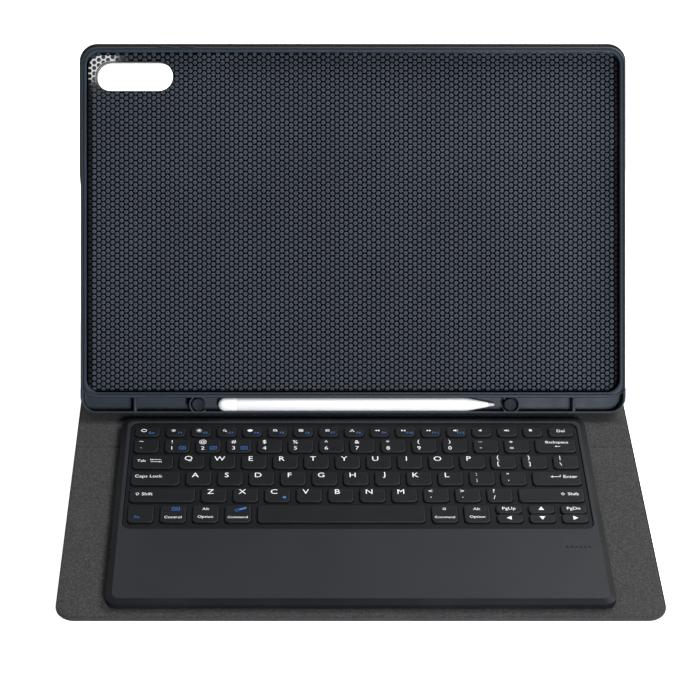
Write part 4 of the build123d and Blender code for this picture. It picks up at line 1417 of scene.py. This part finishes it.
def area_light(name, position, target, size, power, colour=(1, 1, 1)):
    """A rectangular soft light aimed at a point."""
    data = bpy.data.lights.new(name, "AREA")
    data.shape = "RECTANGLE"
    data.size, data.size_y = size
    data.energy = power
    data.color = colour
    lamp = scene_object(name, data)
    lamp.location = position
    away = Vector(target) - lamp.location
    lamp.rotation_euler = away.to_track_quat("-Z", "Y").to_euler()


AMBIENT = 0.75  # how bright the surroundings are as a light
FLOOR_GLOW = 1.0  # how far the floor shines by itself
FLOOR_HALF = 4000


def surroundings():
    """White seen straight; as a light it is bright above and to the right, dark behind the camera."""
    world = bpy.data.worlds.new("studio")
    bpy.context.scene.world = world
    world.use_nodes = True
    tree = Nodes(world.node_tree)
    way = tree.add("TexCoord", "Generated")

    def light(axis, *levels):
        """Light that changes with how far a direction leans towards an axis."""
        lean = tree.add("VectorMath", "Value", {0: way, 1: axis}, operation="DOT_PRODUCT")
        return tree.ramp(lean, *levels, interpolation_type="SMOOTHSTEP")

    fade = light(TRAY.out, 0.45, 0.93, AMBIENT, 0.03)
    side = light((0.75 * RIGHT + 0.66 * TRAY.up).normalized(), -0.75, 0.75, 0.12, 1.15)
    both = tree.add("Math", inputs={0: fade, 1: side}, operation="MULTIPLY")
    seen = tree.add("LightPath", "Is Camera Ray")
    strength = tree.add("Mix", "Result", {"Factor": seen, "A": both, "B": 1.0})
    backdrop = tree.nodes["Background"]
    backdrop.inputs["Color"].default_value = (1, 1, 1, 1)
    tree.links.new(strength, backdrop.inputs["Strength"])


def pale_floor():
    """A pale matt floor that is partly lit from below, as on a light table."""
    s = Surface("pale_floor", (0.9, 0.9, 0.9), 0.7)
    s.cloud(300, 0.4, 0.7, (0.88, 0.88, 0.88))
    material = s.done()
    s.links.new(s.colour, s.shader.inputs["Emission Color"])
    seen = s.add("LightPath", "Is Camera Ray")
    s.links.new(s.ramp(seen, 0, 1, 0, FLOOR_GLOW), s.shader.inputs["Emission Strength"])
    return material


def build_stage():
    """Pale floor, white surroundings and soft lights."""
    outline = (FLOOR_HALF, -FLOOR_HALF, FLOOR_HALF)
    floor = Shape().loft([rounded(*outline, z, 200, 200) for z in (-20, -0.6)])
    piece = floor.build("floor", COVER, [], "board")
    piece.data.materials.append(pale_floor())
    surroundings()
    middle = TRAY.at(0, -60, TRAY_RIM)
    area_light("key_light", TRAY.at(280, -440, 1200), middle, (0.26, 0.26), 14, (0.95, 0.97, 1.03))
    area_light("top_light", TRAY.at(700, 900, 300), middle, (0.9, 0.6), 14)
    glint = TRAY.at(-212, 162, 611)
    area_light("glint_light", glint, TRAY.at(-212, 162, 0), (0.034, 0.034), 0.045)


CAMERA_DISTANCE = 1231.5
CAMERA_X = -42.4
CAMERA_ABOVE_FOOT = 24.8
CAMERA_LENS = 104.05
CAMERA_SHIFT = (0.095, 0.0326)
SENSOR_WIDTH = 36


def build_camera():
    """The camera faces the leaning tray squarely, a little below its middle."""
    data = bpy.data.cameras.new("camera")
    data.sensor_width = SENSOR_WIDTH
    data.lens = CAMERA_LENS
    data.shift_x, data.shift_y = CAMERA_SHIFT
    camera = scene_object("camera", data)
    camera.location = TRAY.at(CAMERA_X, TRAY_FOOT + CAMERA_ABOVE_FOOT, TRAY_RIM + CAMERA_DISTANCE)
    turn = Matrix((RIGHT, TRAY.up, TRAY.out)).transposed()
    camera.rotation_euler = turn.to_euler()
    bpy.context.scene.camera = camera


build_folio()
build_tray_walls()
build_pads()
build_pen_strip()
build_honeycomb()
build_stylus()
build_casing()
build_domes()
build_keys()
dress_nodes()
build_stage()
build_camera()
bpy.context.scene.view_settings.view_transform = "Standard"
